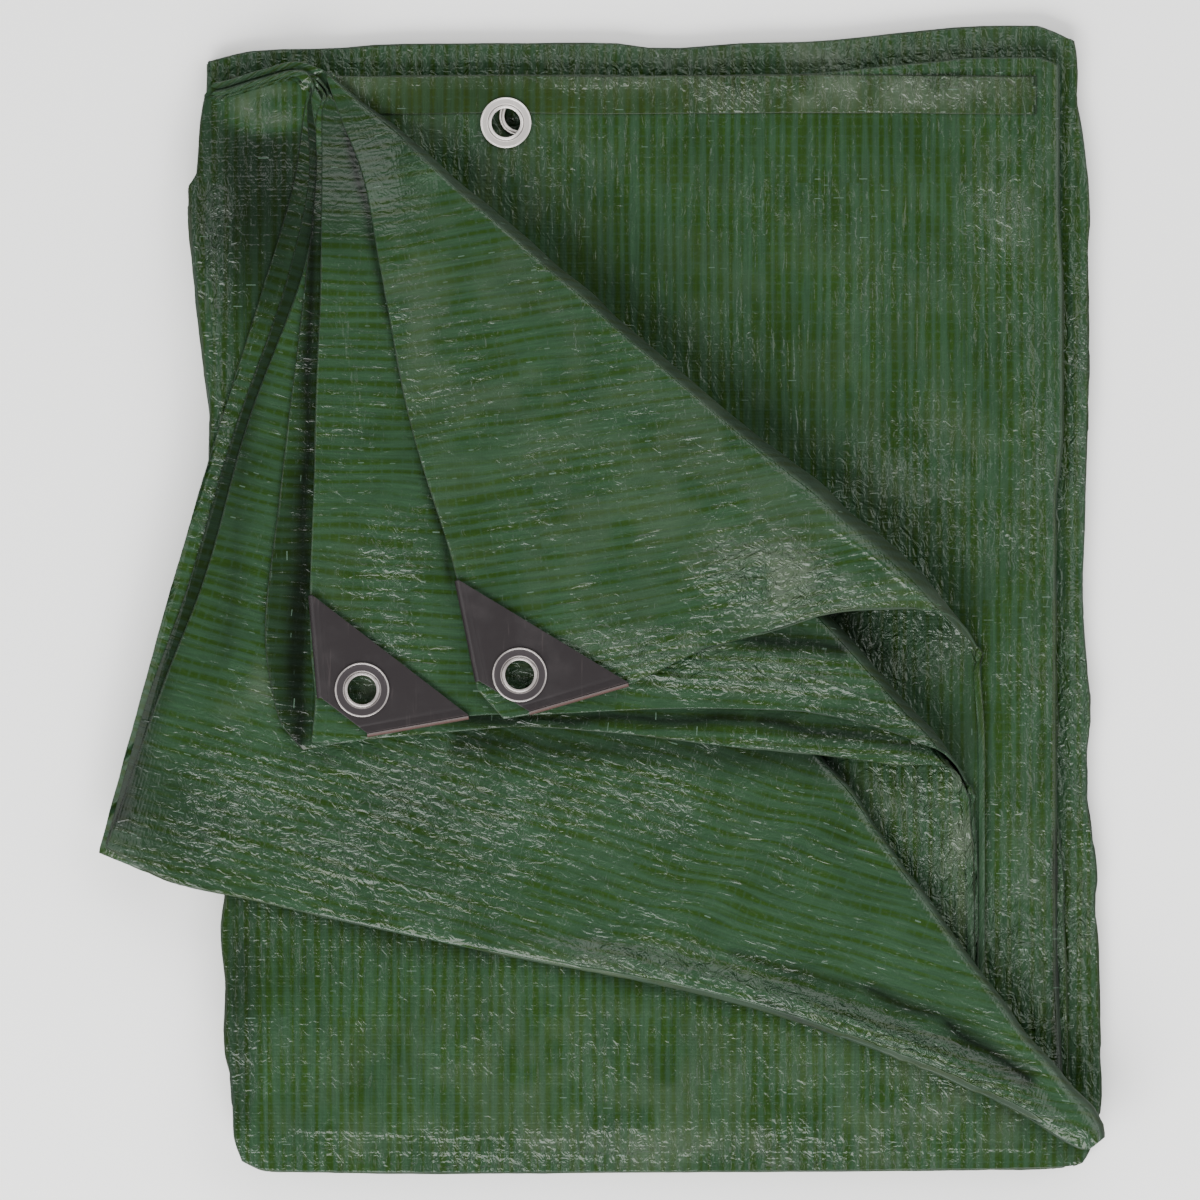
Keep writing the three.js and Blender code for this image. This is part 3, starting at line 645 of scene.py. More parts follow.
# %% Edges of the stack
LEFT_EDGE = [
    (-223, -143.5), (-214, -146.4), (-192, -147.6), (-177, -150.4), (-156, -149.6), (-134, -151.6),
    (-116, -150), (60, -156.4), (72, -156), (91, -158), (120, -161.2), (145, -163.6), (165, -164.8),
    (170, -161.6), (193, -160), (206, -158.4), (216, -158),
]
RIGHT_EDGE = [
    (-226, 192.4), (-222, 196.4), (-205, 200), (-180, 199.6), (-143, 198.8), (-123, 197.6), (-118, 198.4),
    (-96, 196.4), (-80, 194.4), (-64, 194.4), (-50, 196), (-32, 194.8), (-11, 193.2), (5, 192.8),
    (28, 193.6), (44, 194), (92, 195.2), (135, 194.8), (152, 195.6), (162, 195.2), (186, 192.4),
    (198, 190.4), (208, 190.8), (218, 190), (225, 187.6),
]
TOP_EDGE = [
    (-160, 214), (-150, 216.8), (-136, 219.6), (-105, 220.4), (-81, 222), (-16, 222.4), (6, 222.4),
    (18, 220.6), (35, 220.4), (54, 222.4), (80, 222.8), (92, 223.6), (119, 226.4), (133, 227.6),
    (151, 229.2), (174, 229.4), (180, 227.6), (188, 224),
]
BOTTOM_EDGE = [
    (-146, -222), (-141, -225.2), (-132, -228.4), (-106, -228.8), (-72, -229.2), (-4, -228.8),
    (80, -228.4), (178, -227.2), (192, -225.6), (198, -220),
]
left_edge = curve_through(*zip(*LEFT_EDGE))
right_edge = curve_through(*zip(*RIGHT_EDGE))
top_edge = curve_through(*zip(*TOP_EDGE))
bottom_edge = curve_through(*zip(*BOTTOM_EDGE))
print("stack is", RIGHT_EDGE[8][1] - LEFT_EDGE[6][1], "mm wide in its middle")

# %% [markdown]
# ## Levels and unevenness
# All layers share one slow ripple, which grows with height, so they never cut each other. It repeats
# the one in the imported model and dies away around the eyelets, whose holes must stay where they are.
# At the top left, where the flaps start, all of them are pressed down together.

# %% Height of a layer
MARGIN_LEVEL, UNDER_HEM_LEVEL, TOP_LEVEL = 6.2, 8.7, 12.3
RIGHT_LEVEL, LEFT_LEVEL = 35.7, 31.7
HEM_EYELET = (-37.6, 190.6, TOP_LEVEL)
LOWER_EYELET = (-32.4, 193.4, UNDER_HEM_LEVEL)
RIGHT_EYELET = (-32.0, -29.8, RIGHT_LEVEL)
LEFT_EYELET = (-94.8, -35.8, LEFT_LEVEL)
RIPPLE, RIPPLE_ACROSS, RIPPLE_ALONG = 0.5, 34, 43
RIPPLE_CALM = (38, 98)
LOWEST_LEVEL, LEVELS = 0.5, 40
DROOP_FROM, DROOP = -165, 0.006
PRESSED_FROM, PRESSED_TO = 138, 207
PRESSED_RIGHT, PRESSED_SIDE = -60, 24
PRESSED_LEVEL, PRESSED_SHARE = 13.4, 0.8


def calm_near_eyelets(x, y, still, free):
    """0 within the first distance from an eyelet, 1 past the second."""
    calm = 1
    for eyelet_x, eyelet_y, _ in (HEM_EYELET, RIGHT_EYELET, LEFT_EYELET):
        calm = calm * smooth_share(np.hypot(x - eyelet_x, y - eyelet_y), still, free)
    return calm


def layer_height(level, x, y):
    """The height of a layer, which sinks towards the top sheet where the flaps are pressed flat."""
    pressed = smooth_share(y, PRESSED_FROM, PRESSED_TO) * smooth_share(PRESSED_RIGHT - x, 0, PRESSED_SIDE)
    level = level - PRESSED_SHARE * pressed * np.maximum(0, level - PRESSED_LEVEL)
    share = (level - LOWEST_LEVEL) / LEVELS
    wave = np.sin(x / RIPPLE_ACROSS) * np.cos(y / RIPPLE_ALONG) * calm_near_eyelets(x, y, *RIPPLE_CALM)
    past = np.maximum(0, DROOP_FROM - x)
    return level + RIPPLE * share * wave - DROOP * past * past


print("the top sheet lies at", TOP_LEVEL, "mm and the right flap at", RIGHT_LEVEL, "mm")

# %% [markdown]
# ## Marks on the sheets
# Some stretches of the real cloth are far more creased than others, and some are painted paler, a
# painted sheen where the film scatters the light. A table for each sheet lists these patches, and
# patches painted darker, as painted shade. Single creases that stand out are placed one by one as
# ridges or troughs between two points. Shades are placed in the same way: strips painted paler, as
# painted sheen, or darker where another layer keeps the light off, as painted shadow.

# %% Patches and creases
CREASE_WANDER = 1.2
CREASE_CALM = (9, 26)
DEEPEST_DENT = -0.35
COARSE_CREASE, COARSE_SIZE = 0.42, 22
FINE_CREASE, FINE_SIZE = 0.16, 8
FLAT_ENOUGH = 0.9


def patches(rows, x, y, column):
    total = np.zeros(np.broadcast(x, y).shape)
    for row in rows:
        turn = math.radians(row.get("turn", 0))
        right, up = x - row["x"], y - row["y"]
        along = (right * math.cos(turn) + up * math.sin(turn)) / row["wide"]
        above = (up * math.cos(turn) - right * math.sin(turn)) / row["tall"]
        total = total + row.get(column, 0) * np.exp(-(along**2 + above**2) ** 1.5)
    return total


def creases(rows, x, y):
    """Each row gives two ends, a half width, and a height or shade."""
    total = np.zeros(np.broadcast(x, y).shape)
    for x0, y0, x1, y1, width, height in rows:
        length = math.hypot(x1 - x0, y1 - y0)
        along = ((x - x0) * (x1 - x0) + (y - y0) * (y1 - y0)) / length
        bent = CREASE_WANDER * noise(x, y, 12, 5)
        beside = ((x - x0) * (y1 - y0) - (y - y0) * (x1 - x0)) / length + bent
        fade = smooth_share(along, -3, 4) * smooth_share(length - along, -3, 4)
        total = total + height * fade * np.maximum(0, 1 - np.abs(beside) / width) ** 1.6
    return total


def creased_sheet(points, cloth, look, seed):
    """Adds the small unevenness along the cloth's own normals, and returns points and marks."""
    x, y = points[..., 0], points[..., 1]
    rows = look.get("patches", ())
    creased = look["creased"] + patches(rows, x, y, "creased")
    creased = creased * (0.65 + 0.7 * smooth_share(noise(x, y, 26, seed + 3), -0.6, 0.7))
    # pale is painted sheen above zero and painted shade below it, from the patches and the shade strips.
    pale = look.get("pale", 0.0) + patches(rows, x, y, "pale") + creases(look.get("shades", ()), x, y)
    pale = np.where(pale > 0, pale * smooth_share(noise(x, y, 9, seed + 4), -0.7, 0.8), pale)
    height = COARSE_CREASE * creased * crumple(cloth[..., 0], cloth[..., 1], COARSE_SIZE, seed)
    height = height + FINE_CREASE * creased * crumple(cloth[..., 0], cloth[..., 1], FINE_SIZE, seed + 7)
    height = height + creases(look.get("creases", ()), x, y)
    height = np.maximum(height, DEEPEST_DENT) * (1 - 0.6 * smooth_share(y, PRESSED_FROM, PRESSED_TO))
    height = height * calm_near_eyelets(x, y, *CREASE_CALM)
    normals = normals_of(points)
    upright = normals[..., 2]
    outward = np.where(upright < 0, -1, 1)
    # Steep sides, such as the outside of a roll, get the mark -1: dull, and painted darker as shade.
    steep = smooth_share(FLAT_ENOUGH - np.abs(upright), 0, 0.15)
    points = points + normals * (outward * height)[..., None]
    marks = [lerp(np.clip(creased, 0, 2), -1, steep), np.clip(pale, -0.85, 1.6)]
    return points, np.stack(marks, axis=-1)


print("dents are at most", -DEEPEST_DENT, "mm deep")

# %% [markdown]
# ## Rims
# A hem or a fold has a rounded edge. The grid is carried on past its edge: it goes round a small half
# circle and a few millimetres back underneath, so that no edge looks like paper. Where a row is short,
# as at the ends of a fold line, its rim is smaller.

# %% Carry a grid round its edge
RIM_STEPS = 4
RIM_LEG, LEG_STEPS = 3.5, (0.5, 1.0)
RIM_SHARE, LEG_SHARE = 0.2, 0.3
HEM_RIM = 0.45
LOOK_BACK = 0.8


def with_rim(points, cloth, radius, side):
    """Adds a rim after the last column. side says which way it turns under."""
    edge = points[:, -1]
    apart = np.linalg.norm(points - edge[:, None], axis=-1)
    before = points.shape[1] - 1 - np.argmax(apart[:, ::-1] > LOOK_BACK, axis=1)
    rows = np.arange(len(points))
    inward = unit(points[rows, before] - edge)
    outward_cloth = unit(cloth[:, -1] - cloth[rows, before])
    under = side * unit(np.cross(inward, np.gradient(edge, axis=0)))
    span = np.linalg.norm(edge - points[:, 0], axis=-1)[:, None]
    radius = np.minimum(radius, RIM_SHARE * span)
    leg = np.minimum(RIM_LEG, LEG_SHARE * span)
    added, added_cloth = [], []
    for step in range(1, RIM_STEPS + 1):
        angle = math.pi * step / RIM_STEPS
        added.append(edge - inward * radius * math.sin(angle) + under * radius * (1 - math.cos(angle)))
        added_cloth.append(cloth[:, -1] + outward_cloth * radius * angle)
    for share in LEG_STEPS:
        added.append(edge + under * 2 * radius + inward * leg * share)
        added_cloth.append(cloth[:, -1] + outward_cloth * (radius * math.pi + leg * share))
    points = np.concatenate([points, np.stack(added, axis=1)], axis=1)
    cloth = np.concatenate([cloth, np.stack(added_cloth, axis=1)], axis=1)
    return points, cloth


def rims_at_ends(points, cloth, last, last_side, first, first_side):
    """A rim after the last column and one before the first."""
    points, cloth = with_rim(points, cloth, last, last_side)
    points, cloth = with_rim(points[:, ::-1], cloth[:, ::-1], first, first_side)
    return points[:, ::-1], cloth[:, ::-1]


def rims_all_round(points, cloth, left, right, bottom, top):
    """Rims on the four sides of a flat grid whose rows go up and whose columns go right."""
    points, cloth = rims_at_ends(points, cloth, right, 1, left, -1)
    points, cloth = points.swapaxes(0, 1), cloth.swapaxes(0, 1)
    points, cloth = rims_at_ends(points, cloth, top, -1, bottom, 1)
    return points.swapaxes(0, 1), cloth.swapaxes(0, 1)


print("a rim adds", RIM_STEPS + len(LEG_STEPS), "columns")


# %% Make a sheet and print its unfolded size
def cloth_sheet(name, points, cloth, marks, holes=(), material=CLOTH):
    mesh = sheet_mesh(name, points, cloth, marks, holes)
    piece = finish_piece(name, mesh, material)
    places = np.empty(len(mesh.loops) * 2)
    mesh.uv_layers["cloth"].uv.foreach_get("vector", places)
    quads = places.reshape(-1, 4, 2)
    first, second = quads[:, 2] - quads[:, 0], quads[:, 3] - quads[:, 1]
    area = np.abs(first[:, 0] * second[:, 1] - first[:, 1] * second[:, 0]).sum() / 2
    size = (quads.max(axis=(0, 1)) - quads.min(axis=(0, 1))) * MM
    area = min(area * MM * MM, size[0] * size[1])
    print(f"{name}: cut {size[0]:.3f} by {size[1]:.3f} m, {area:.4f} square metres")
    return piece


# %% [markdown]
# ## The lower layers
# Most of the tarpaulin lies in the flat stack. Its lower layers are one back-and-forth strip: each run
# crosses the stack and turns into the next at a rounded fold. From above only their edges matter, so
# the runs are coarse and the folds are finer.

# %% Piece: lower layers
LOWER_RUNS = 8
LOWER_FIRST, LOWER_STEP = 0.4, 0.69
LOWER_ROWS, LOWER_COLUMNS = 90, 15
STACK_LOW, STACK_HIGH = -226, 218
FOLD_TURNS = (0.2, 0.4, 0.6, 0.8)
LOWER_WAVER = 0.8


def lower_layers():
    ups = np.linspace(0, 1, LOWER_ROWS)[:, None]
    shares = np.linspace(0, 1, LOWER_COLUMNS)[None, :]
    rough_y = lerp(STACK_LOW, STACK_HIGH, ups)
    angles = np.pi * np.array(FOLD_TURNS)[None, :]
    radius = LOWER_STEP / 2
    rng = np.random.default_rng(11)
    spots = []
    for run in range(LOWER_RUNS):
        level = LOWER_FIRST + LOWER_STEP * run
        to_right = run % 2 == 0
        inset = rng.uniform(0.2, 2.2, 4)
        waver = LOWER_WAVER * noise(rough_y, rough_y * 0 + run * 9, 30, 60 + run)
        left = left_edge(rough_y) + inset[0] + waver
        right = right_edge(rough_y) - inset[1] + waver
        x = lerp(left, right, shares if to_right else 1 - shares)
        y = lerp(bottom_edge(x) + inset[2], top_edge(x) - inset[3], ups)
        spots.append(np.stack([x, y, layer_height(level, x, y)], axis=-1))
        if run == LOWER_RUNS - 1:
            break
        edge_x, edge_y = x[:, -1:], y[:, -1:]
        fold_x = edge_x + (1 if to_right else -1) * radius * np.sin(angles)
        fold_z = layer_height(level, edge_x, edge_y) + radius * (1 - np.cos(angles))
        spots.append(np.stack([fold_x, edge_y + 0 * angles, fold_z], axis=-1))
    return np.concatenate(spots, axis=1)


points = lower_layers()
middle_row = points[len(points) // 2]
walked = np.concatenate([[0], np.cumsum(np.linalg.norm(np.diff(middle_row, axis=0), axis=-1))])
cloth = points[..., :2].copy()
cloth[..., 0] = walked[None, :]
marks = np.full(cloth.shape, 0.5)
cloth_sheet("lower_layers", points, cloth, marks)

# %% [markdown]
# ## The flat sheets of the stack
# Three sheets of the stack show from above: the margin that forms a band along the top and the right,
# a sheet just under the hem, seen through the eyelet, and the broad sheet on top. Each is a grid between
# the stack's edges. Its lines are closer together where the sheet shows.

# %% Lay a flat sheet
SHEET_HIGH = 222
CLOTH_CUT, LOWER_CUT = 6.6, 6.0


def cut_for(eyelet, radius=CLOTH_CUT):
    return (eyelet[0], eyelet[1], radius)


def flat_sheet(level, columns, rows, insets, right_side=None):
    """columns and rows are shares from 0 to 1; insets are left, right, bottom and top."""
    inset_left, inset_right, inset_bottom, inset_top = insets
    ups, rights = rows[:, None], columns[None, :]
    rough_y = lerp(STACK_LOW + inset_bottom, SHEET_HIGH - inset_top, ups)
    left = left_edge(rough_y) + inset_left
    right = right_side(rough_y) if right_side else right_edge(rough_y) - inset_right
    x = lerp(left, right, rights)
    y = lerp(bottom_edge(x) + inset_bottom, top_edge(x) - inset_top, ups)
    return np.stack([x, y, layer_height(level, x, y)], axis=-1)


def spread(*stretches):
    """Shares from 0 to 1, with a chosen number of steps in each stretch (end, steps)."""
    shares, start = [], 0.0
    for end, steps in stretches:
        shares.append(np.linspace(start, end, steps, endpoint=False))
        start = end
    return np.concatenate(shares + [[1.0]])


def lay_flat(name, level, columns, rows, insets, rims, look, seed, holes=(), right_side=None):
    points = flat_sheet(level, columns, rows, insets, right_side)
    points, cloth = rims_all_round(points, points[..., :2], *rims)
    points, marks = creased_sheet(points, cloth, look, seed)
    return cloth_sheet(name, points, cloth, marks, holes)


print("the cloth is cut out", CLOTH_CUT, "mm from an eyelet's middle")

# %% Piece: margin sheet, which makes the band along the top and the right
MARGIN_LOOK = {
    "creased": 0.9,
    "patches": [
        {"x": 150, "y": 222, "wide": 50, "tall": 12, "creased": 0.4, "pale": 0.3},
        {"x": 60, "y": 217, "wide": 90, "tall": 7, "creased": 0.3, "pale": 0.5},
        {"x": 98, "y": 219, "wide": 36, "tall": 10, "creased": 0.5, "pale": 1.2},
        {"x": 192, "y": -60, "wide": 10, "tall": 200, "creased": 0.5, "pale": 0.2},
    ],
    "creases": [
        (-130, 214, 20, 216, 2.5, 0.8), (40, 213, 170, 222, 2.2, 0.8), (-155, 200, -140, 216, 2.0, 0.6),
        (188, 150, 191, 60, 1.8, 0.7), (187, 20, 189, -90, 2.0, 0.7), (190, -110, 194, -200, 2.2, 0.7),
    ],
}
margin_columns = spread((0.05, 16), (0.9, 24), (1, 36))
margin_rows = spread((0.06, 24), (0.94, 150), (1, 26))
lay_flat(
    "margin_sheet", MARGIN_LEVEL, margin_columns, margin_rows, insets=(1.5, 0.3, 0.5, 0.3),
    rims=(0.4, 0.6, 0.4, 0.6), look=MARGIN_LOOK, seed=210)

# %% Piece: sheet under the hem
UNDER_HEM_LOOK = {"creased": 1.3, "pale": 0.25}
under_columns = spread((0.28, 12), (0.42, 50), (0.93, 20), (1, 16))
under_rows = spread((0.03, 8), (0.88, 60), (1, 50))
lay_flat(
    "sheet_under_hem", UNDER_HEM_LEVEL, under_columns, under_rows, insets=(1.3, 13.0, 1.0, 14.5),
    rims=(1.2, 0.4, 0.5, 0.5), look=UNDER_HEM_LOOK, seed=220,
    holes=[cut_for(LOWER_EYELET, LOWER_CUT)])

# %% Piece: broad sheet on top of the stack
top_sheet_right = curve_through(
    [-226, -196, -136, 32, 68, 120, 154, 208], [184, 183.2, 180.8, 180.8, 183.6, 183.6, 182, 182])
TOP_SHEET_LOOK = {
    "creased": 0.3,
    "shades": [
        (183, -90, 183, -196, 6, -0.85), (120, 209, 176, 211, 2, -0.8), (160, -120, 176, -190, 8, -0.4),
    ],
    "patches": [
        {"x": 165, "y": 175, "wide": 22, "tall": 50, "creased": 0.7, "pale": 0.3},
        {"x": 172, "y": -60, "wide": 12, "tall": 170, "creased": 0.45, "pale": 0.1},
        {"x": 10, "y": 206, "wide": 170, "tall": 8, "creased": 0.8, "pale": 0.35},
        {"x": -60, "y": 170, "wide": 60, "tall": 30, "creased": 0.3, "pale": 0.5},
        {"x": -130, "y": 205, "wide": 30, "tall": 14, "creased": 0.5, "pale": 0.8},
        {"x": 140, "y": 60, "wide": 60, "tall": 22, "creased": 0.3, "pale": 0.3},
        {"x": 80, "y": 120, "wide": 90, "tall": 60, "creased": 0.1, "pale": 0.2},
        {"x": 120, "y": 25, "wide": 50, "tall": 26, "creased": 0.5, "pale": 0.2},
        {"x": 160, "y": -150, "wide": 24, "tall": 70, "creased": 0.8, "pale": 0.3},
    ],
    "creases": [
        (160.4, 178, 160.4, 140, 1.6, 1.1), (181, 201, 167, 167, 1.5, 0.9),
        (159, 139.6, 167, 140, 1.0, 0.6), (181.6, 32, 171, 0, 1.4, 0.7),
        (149, 200, 149, -10, 1.4, 0.25), (105, 62, 144, 40, 2.0, 0.6),
        (60, 20, 75, 60, 1.5, 0.3), (170, 130, 174, 20, 2.0, 0.6), (172, -10, 168, -120, 2.2, 0.7),
        (-30, 176, 10, 162, 1.5, 0.3), (100, 12, 168, -12, 1.8, 0.5), (165, -130, 172, -190, 1.8, 0.7),
    ],
}
top_columns = spread((0.25, 22), (1, 190))
top_rows = spread((0.03, 8), (1, 330))
lay_flat(
    "top_sheet", TOP_LEVEL, top_columns, top_rows, insets=(1.0, 13.0, 0.5, 13.0),
    rims=(0.8, 1.8, 0.6, 0.5), look=TOP_SHEET_LOOK, seed=230,
    holes=[cut_for(HEM_EYELET)], right_side=top_sheet_right)

# %% [markdown]
# ## The hem band
# Along its top edge the sheet is doubled and welded, and the eyelet is pressed through this hem. The
# band stands a little higher than the cloth beside it, and a few low ridges run along it.

# %% Piece: hem band
HEM_LEFT, HEM_RIGHT = -148, 174
HEM_LOW, HEM_HIGH = 194.6, 209.2
HEM_RISE, HEM_WAVER = 0.75, 0.5
HEM_COLUMNS, HEM_ROWS = 330, 18
HEM_BLUISH, HEM_OLIVE = (0.0150, 0.0330, 0.0135, 1), (0.0130, 0.0255, 0.0040, 1)
HEM_LOOK = {
    "creased": 0.3,
    "patches": [
        {"x": 92, "y": 202, "wide": 74, "tall": 7.5, "creased": 0.9, "pale": 1.2},
        {"x": 40, "y": 209, "wide": 150, "tall": 5, "creased": 0.8, "pale": 0.4},
        {"x": -110, "y": 202, "wide": 30, "tall": 10, "creased": 0.6, "pale": 0.6},
    ],
    "creases": [(-90, 206, 60, 207.5, 1.2, 0.35), (60, 207, 170, 206, 1.2, 0.35)],
}


def hem_band():
    x = np.linspace(HEM_LEFT, HEM_RIGHT, HEM_COLUMNS)[None, :]
    y = np.linspace(HEM_LOW, HEM_HIGH, HEM_ROWS)[:, None] + HEM_WAVER * noise(x, x * 0, 40, 71)
    z = layer_height(TOP_LEVEL, x, y) + HEM_RISE
    return np.stack([x + 0 * y, y, z], axis=-1)


points = hem_band()
points, cloth = rims_all_round(points, points[..., :2], left=0.3, right=0.3, bottom=0.35, top=0.35)
points, marks = creased_sheet(points, cloth, HEM_LOOK, seed=240)
HEM_CLOTH = woven_cloth("hem_weave", HEM_BLUISH, HEM_OLIVE, glints=0.2)
HEM_BAND = cloth_sheet("hem_band", points, cloth, marks, [cut_for(HEM_EYELET)], HEM_CLOTH)
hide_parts("hem_strip")

# %% [markdown]
# ## The flaps
# Each flap is one length of cloth: it lies flat on the stack, rolls over its fold line and lies
# face down on itself. Walking along the cloth across the fold line gives one row of the grid. Tables
# give the free edge of the flap, how far the roll swells and how high it stands, at places along the
# fold line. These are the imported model's own tables, with more rows where the edge bends. At a flap's
# corners the curves are left sharp, and its nose takes a little off the free edge at the lower end.

# %% Tables of the three flaps
RIGHT_FLAP = {
    "start": (-110, 208.4), "slope": 41.15, "length": 350, "nose": 3, "corners": (206.4, 222.4, 228.3),
    "columns": ("along", "across", "turn", "bulge", "lift"),
    "rows": [
        (0, 0, 0.4, 1, 0), (2.5, 1, 1, 1.4, 0), (7, 3.4, 1, 2, 0), (14, 7, 1, 2.8, 0), (35, 17.5, 1, 4, 0),
        (65, 40.6, 1, 4.6, 0), (118, 81.7, 1, 5.2, 0), (172.5, 116, 1, 5.2, 0), (206.4, 143.2, 1, 5.6, 0),
        (222.4, 145.1, 1, 5.9, 0), (228.3, 137.8, 1, 6.1, 0), (251, 101.6, 1, 7.4, 0.5),
        (263, 74, 1, 7.8, 1), (280, 47.7, 1, 8.2, 1.8), (293, 27, 1, 8.2, 2.4), (308, 12, 1, 7.6, 2.6),
        (319, 3, 1, 6.6, 2.4), (331, 0, 0.72, 4.6, 1.6), (341, 0, 0.42, 3, 0.8), (349, 0, 0.12, 1.5, 0),
    ],
}
LEFT_FLAP = {
    "start": (-113.2, 204.8), "slope": 47, "length": 387, "nose": 2.5, "corners": (190, 199),
    "columns": ("along", "across", "under", "turn", "bulge", "lift"),
    "rows": [
        (0, 0, 0, 0.12, 1, 0), (4, 0, 0, 0.5, 1.6, 0), (10, 6, 9, 1, 2, 0), (24, 19, 22, 1, 2.4, 0),
        (63.5, 56.5, 67, 1, 3, 0), (87, 80.5, 95, 1, 3.6, 0), (111.5, 104.5, 124, 1, 4.2, 0),
        (146.5, 139.5, 164, 1, 5, 0), (163, 154.5, 176, 1, 5, 0), (179, 167, 183.5, 1, 5, 0),
        (190, 179.5, 184, 1, 5, 0), (199, 170.2, 170, 1, 5.1, 0), (204, 162.6, 163, 1, 5.2, 0),
        (226.4, 124.8, 134, 1, 5.4, 0), (243, 106.5, 113.5, 1, 5.5, 0),
        (264, 81.5, 93.5, 1, 5.5, 0), (280.5, 62.5, 79, 1, 5.5, 0), (308, 34, 56, 1, 5.5, 0.6),
        (316, 26.5, 48.5, 1, 5.5, 0.8), (338.5, 11, 29, 1, 5.3, 1.4), (353.5, 3.5, 17, 1, 4.4, 1.4),
        (367, 0, 7, 0.74, 3.4, 1), (377, 0, 3, 0.4, 2.2, 0.4), (385, 0, 1, 0.12, 1.2, 0),
    ],
}
WIDE_FLAP = {
    "start": (-118, 204.8), "slope": 53.1, "length": 527, "nose": 0, "corners": (195,),
    "columns": ("along", "across", "middle", "under", "turn", "bulge", "lift"),
    "rows": [
        (0, 0, 0, 0, 0.12, 0.8, 0), (4, 0, 0, 0, 0.5, 1.2, 0), (9, 3, 5, 6, 1, 1.5, 0),
        (29, 12.7, 19, 27, 1, 2, 0), (56.5, 41, 50, 64, 1, 2.4, 0), (93.5, 97.5, 105, 115.5, 1, 2.8, 0),
        (134, 150.5, 160, 170, 1, 3, 0), (157.5, 188.5, 196, 200.5, 1, 3.4, 0),
        (195, 245, 246, 249, 1, 3.8, 0), (219, 234, 231, 234, 1, 4, 0), (248, 210, 207, 210, 1, 4.4, 0),
        (284, 179.5, 176, 179.5, 1, 5, 0), (331, 138.5, 135, 138.5, 1, 6, 0),
        (372.5, 101, 97, 101, 1, 5.6, 0.5), (404, 75.5, 71, 75.5, 1, 4.6, 1.5),
        (436, 53.5, 49, 53.5, 1, 4, 2.5), (462.5, 37, 32, 37, 1, 4, 3.5), (487.5, 23, 18, 23, 1, 5, 4),
        (501, 16.5, 11, 16.5, 1, 5.6, 4), (507, 14, 9, 14, 1, 6.6, 4.2), (515, 11, 5, 11, 1, 8, 4.2),
        (521, 8.2, 3, 8.2, 1, 7.6, 3.8), (525, 6, 1, 6, 1, 6, 3.2), (527, 4, 0, 4, 0.97, 4.4, 2.6),
    ],
}


def prepare_flap(flap):
    slope = math.radians(flap["slope"])
    flap["tangent"] = math.tan(slope)
    flap["along"] = np.array([math.cos(slope), -math.sin(slope)])
    flap["across"] = np.array([-math.sin(slope), -math.cos(slope)])
    table = np.array(flap["rows"], float)
    flap["read"] = {
        label: curve_through(table[:, 0], table[:, number], flap["corners"])
        for number, label in enumerate(flap["columns"]) if number > 0
    }
    start = np.array(flap["start"], float)
    hem_x = start[0] + flap["along"][0] * flap["length"]
    top_left = np.array([left_edge(start[1]) + 1, start[1]])
    bottom_right = np.array([hem_x, bottom_edge(hem_x) + 1])
    flap["first"] = (top_left - start) @ flap["along"]
    flap["last"] = (bottom_right - start) @ flap["along"]
    ends = round(flap["first"]), round(flap["last"])
    print("fold line", flap["slope"], "degrees, from", ends[0], "to", ends[1], "mm")


for flap in (RIGHT_FLAP, LEFT_FLAP, WIDE_FLAP):
    prepare_flap(flap)

# %% [markdown]
# Walking along one row starts at the stack's edge, where the row is cut off, and counts the length
# from the fold line: below zero on the flat part, then the roll, then the turned part. The same length
# gives the place on the unfolded cloth, so the stripes turn with the flap just as they really do. At
# the top left the upper edges of all flaps bend in one soft wave, which is added to every row.

# %% Walk along the cloth of a flap
PINCH_PLACE, PINCH_REACH = (-114, 206), 130
LIFT_REACH = 70
NOSE_REACH = 14
EDGE_SHAPED_PAST = 12
STACK_INSET, ROW_MARGIN = 1.0, 2
FARTHEST, HALVINGS = 600.0, 26
SHIFT_FROM, SHIFT_TO = 172, 206
flap_top_shift = curve_through([-166, -151, -136, -121, -108, -96], [-4, -1.5, 3, 6.5, 2, 0])


def turned_level(layer, x, y):
    """The level of the turned part, which is lower near the place where the flaps are pinched."""
    away = np.hypot(x - PINCH_PLACE[0], y - PINCH_PLACE[1])
    return lerp(layer["pinched"], layer["turned"], smooth_share(away, 0, PINCH_REACH))


def reach_to_edge(x, y, direction):
    """How far rows run from the fold line until they meet the left or bottom edge of the stack."""
    inside, outside = np.zeros(x.shape), np.full(x.shape, FARTHEST)
    for _ in range(HALVINGS):
        middle = (inside + outside) / 2
        spot_x, spot_y = x + direction[0] * middle, y + direction[1] * middle
        within = (spot_x > left_edge(spot_y) + STACK_INSET) & (spot_y > bottom_edge(spot_x) + STACK_INSET)
        inside, outside = np.where(within, middle, inside), np.where(within, outside, middle)
    return inside


def free_length(flap, at, length):
    """How far the cloth runs past the fold line. Beyond the line's two ends the stack's edge cuts it."""
    past_end = at - flap["length"]
    nose = flap["nose"] * np.exp(-(past_end / NOSE_REACH) ** 2)
    free = np.where(at < 0, at * flap["tangent"], length - nose)
    return np.where(past_end > 0, -past_end / flap["tangent"] - nose, free)


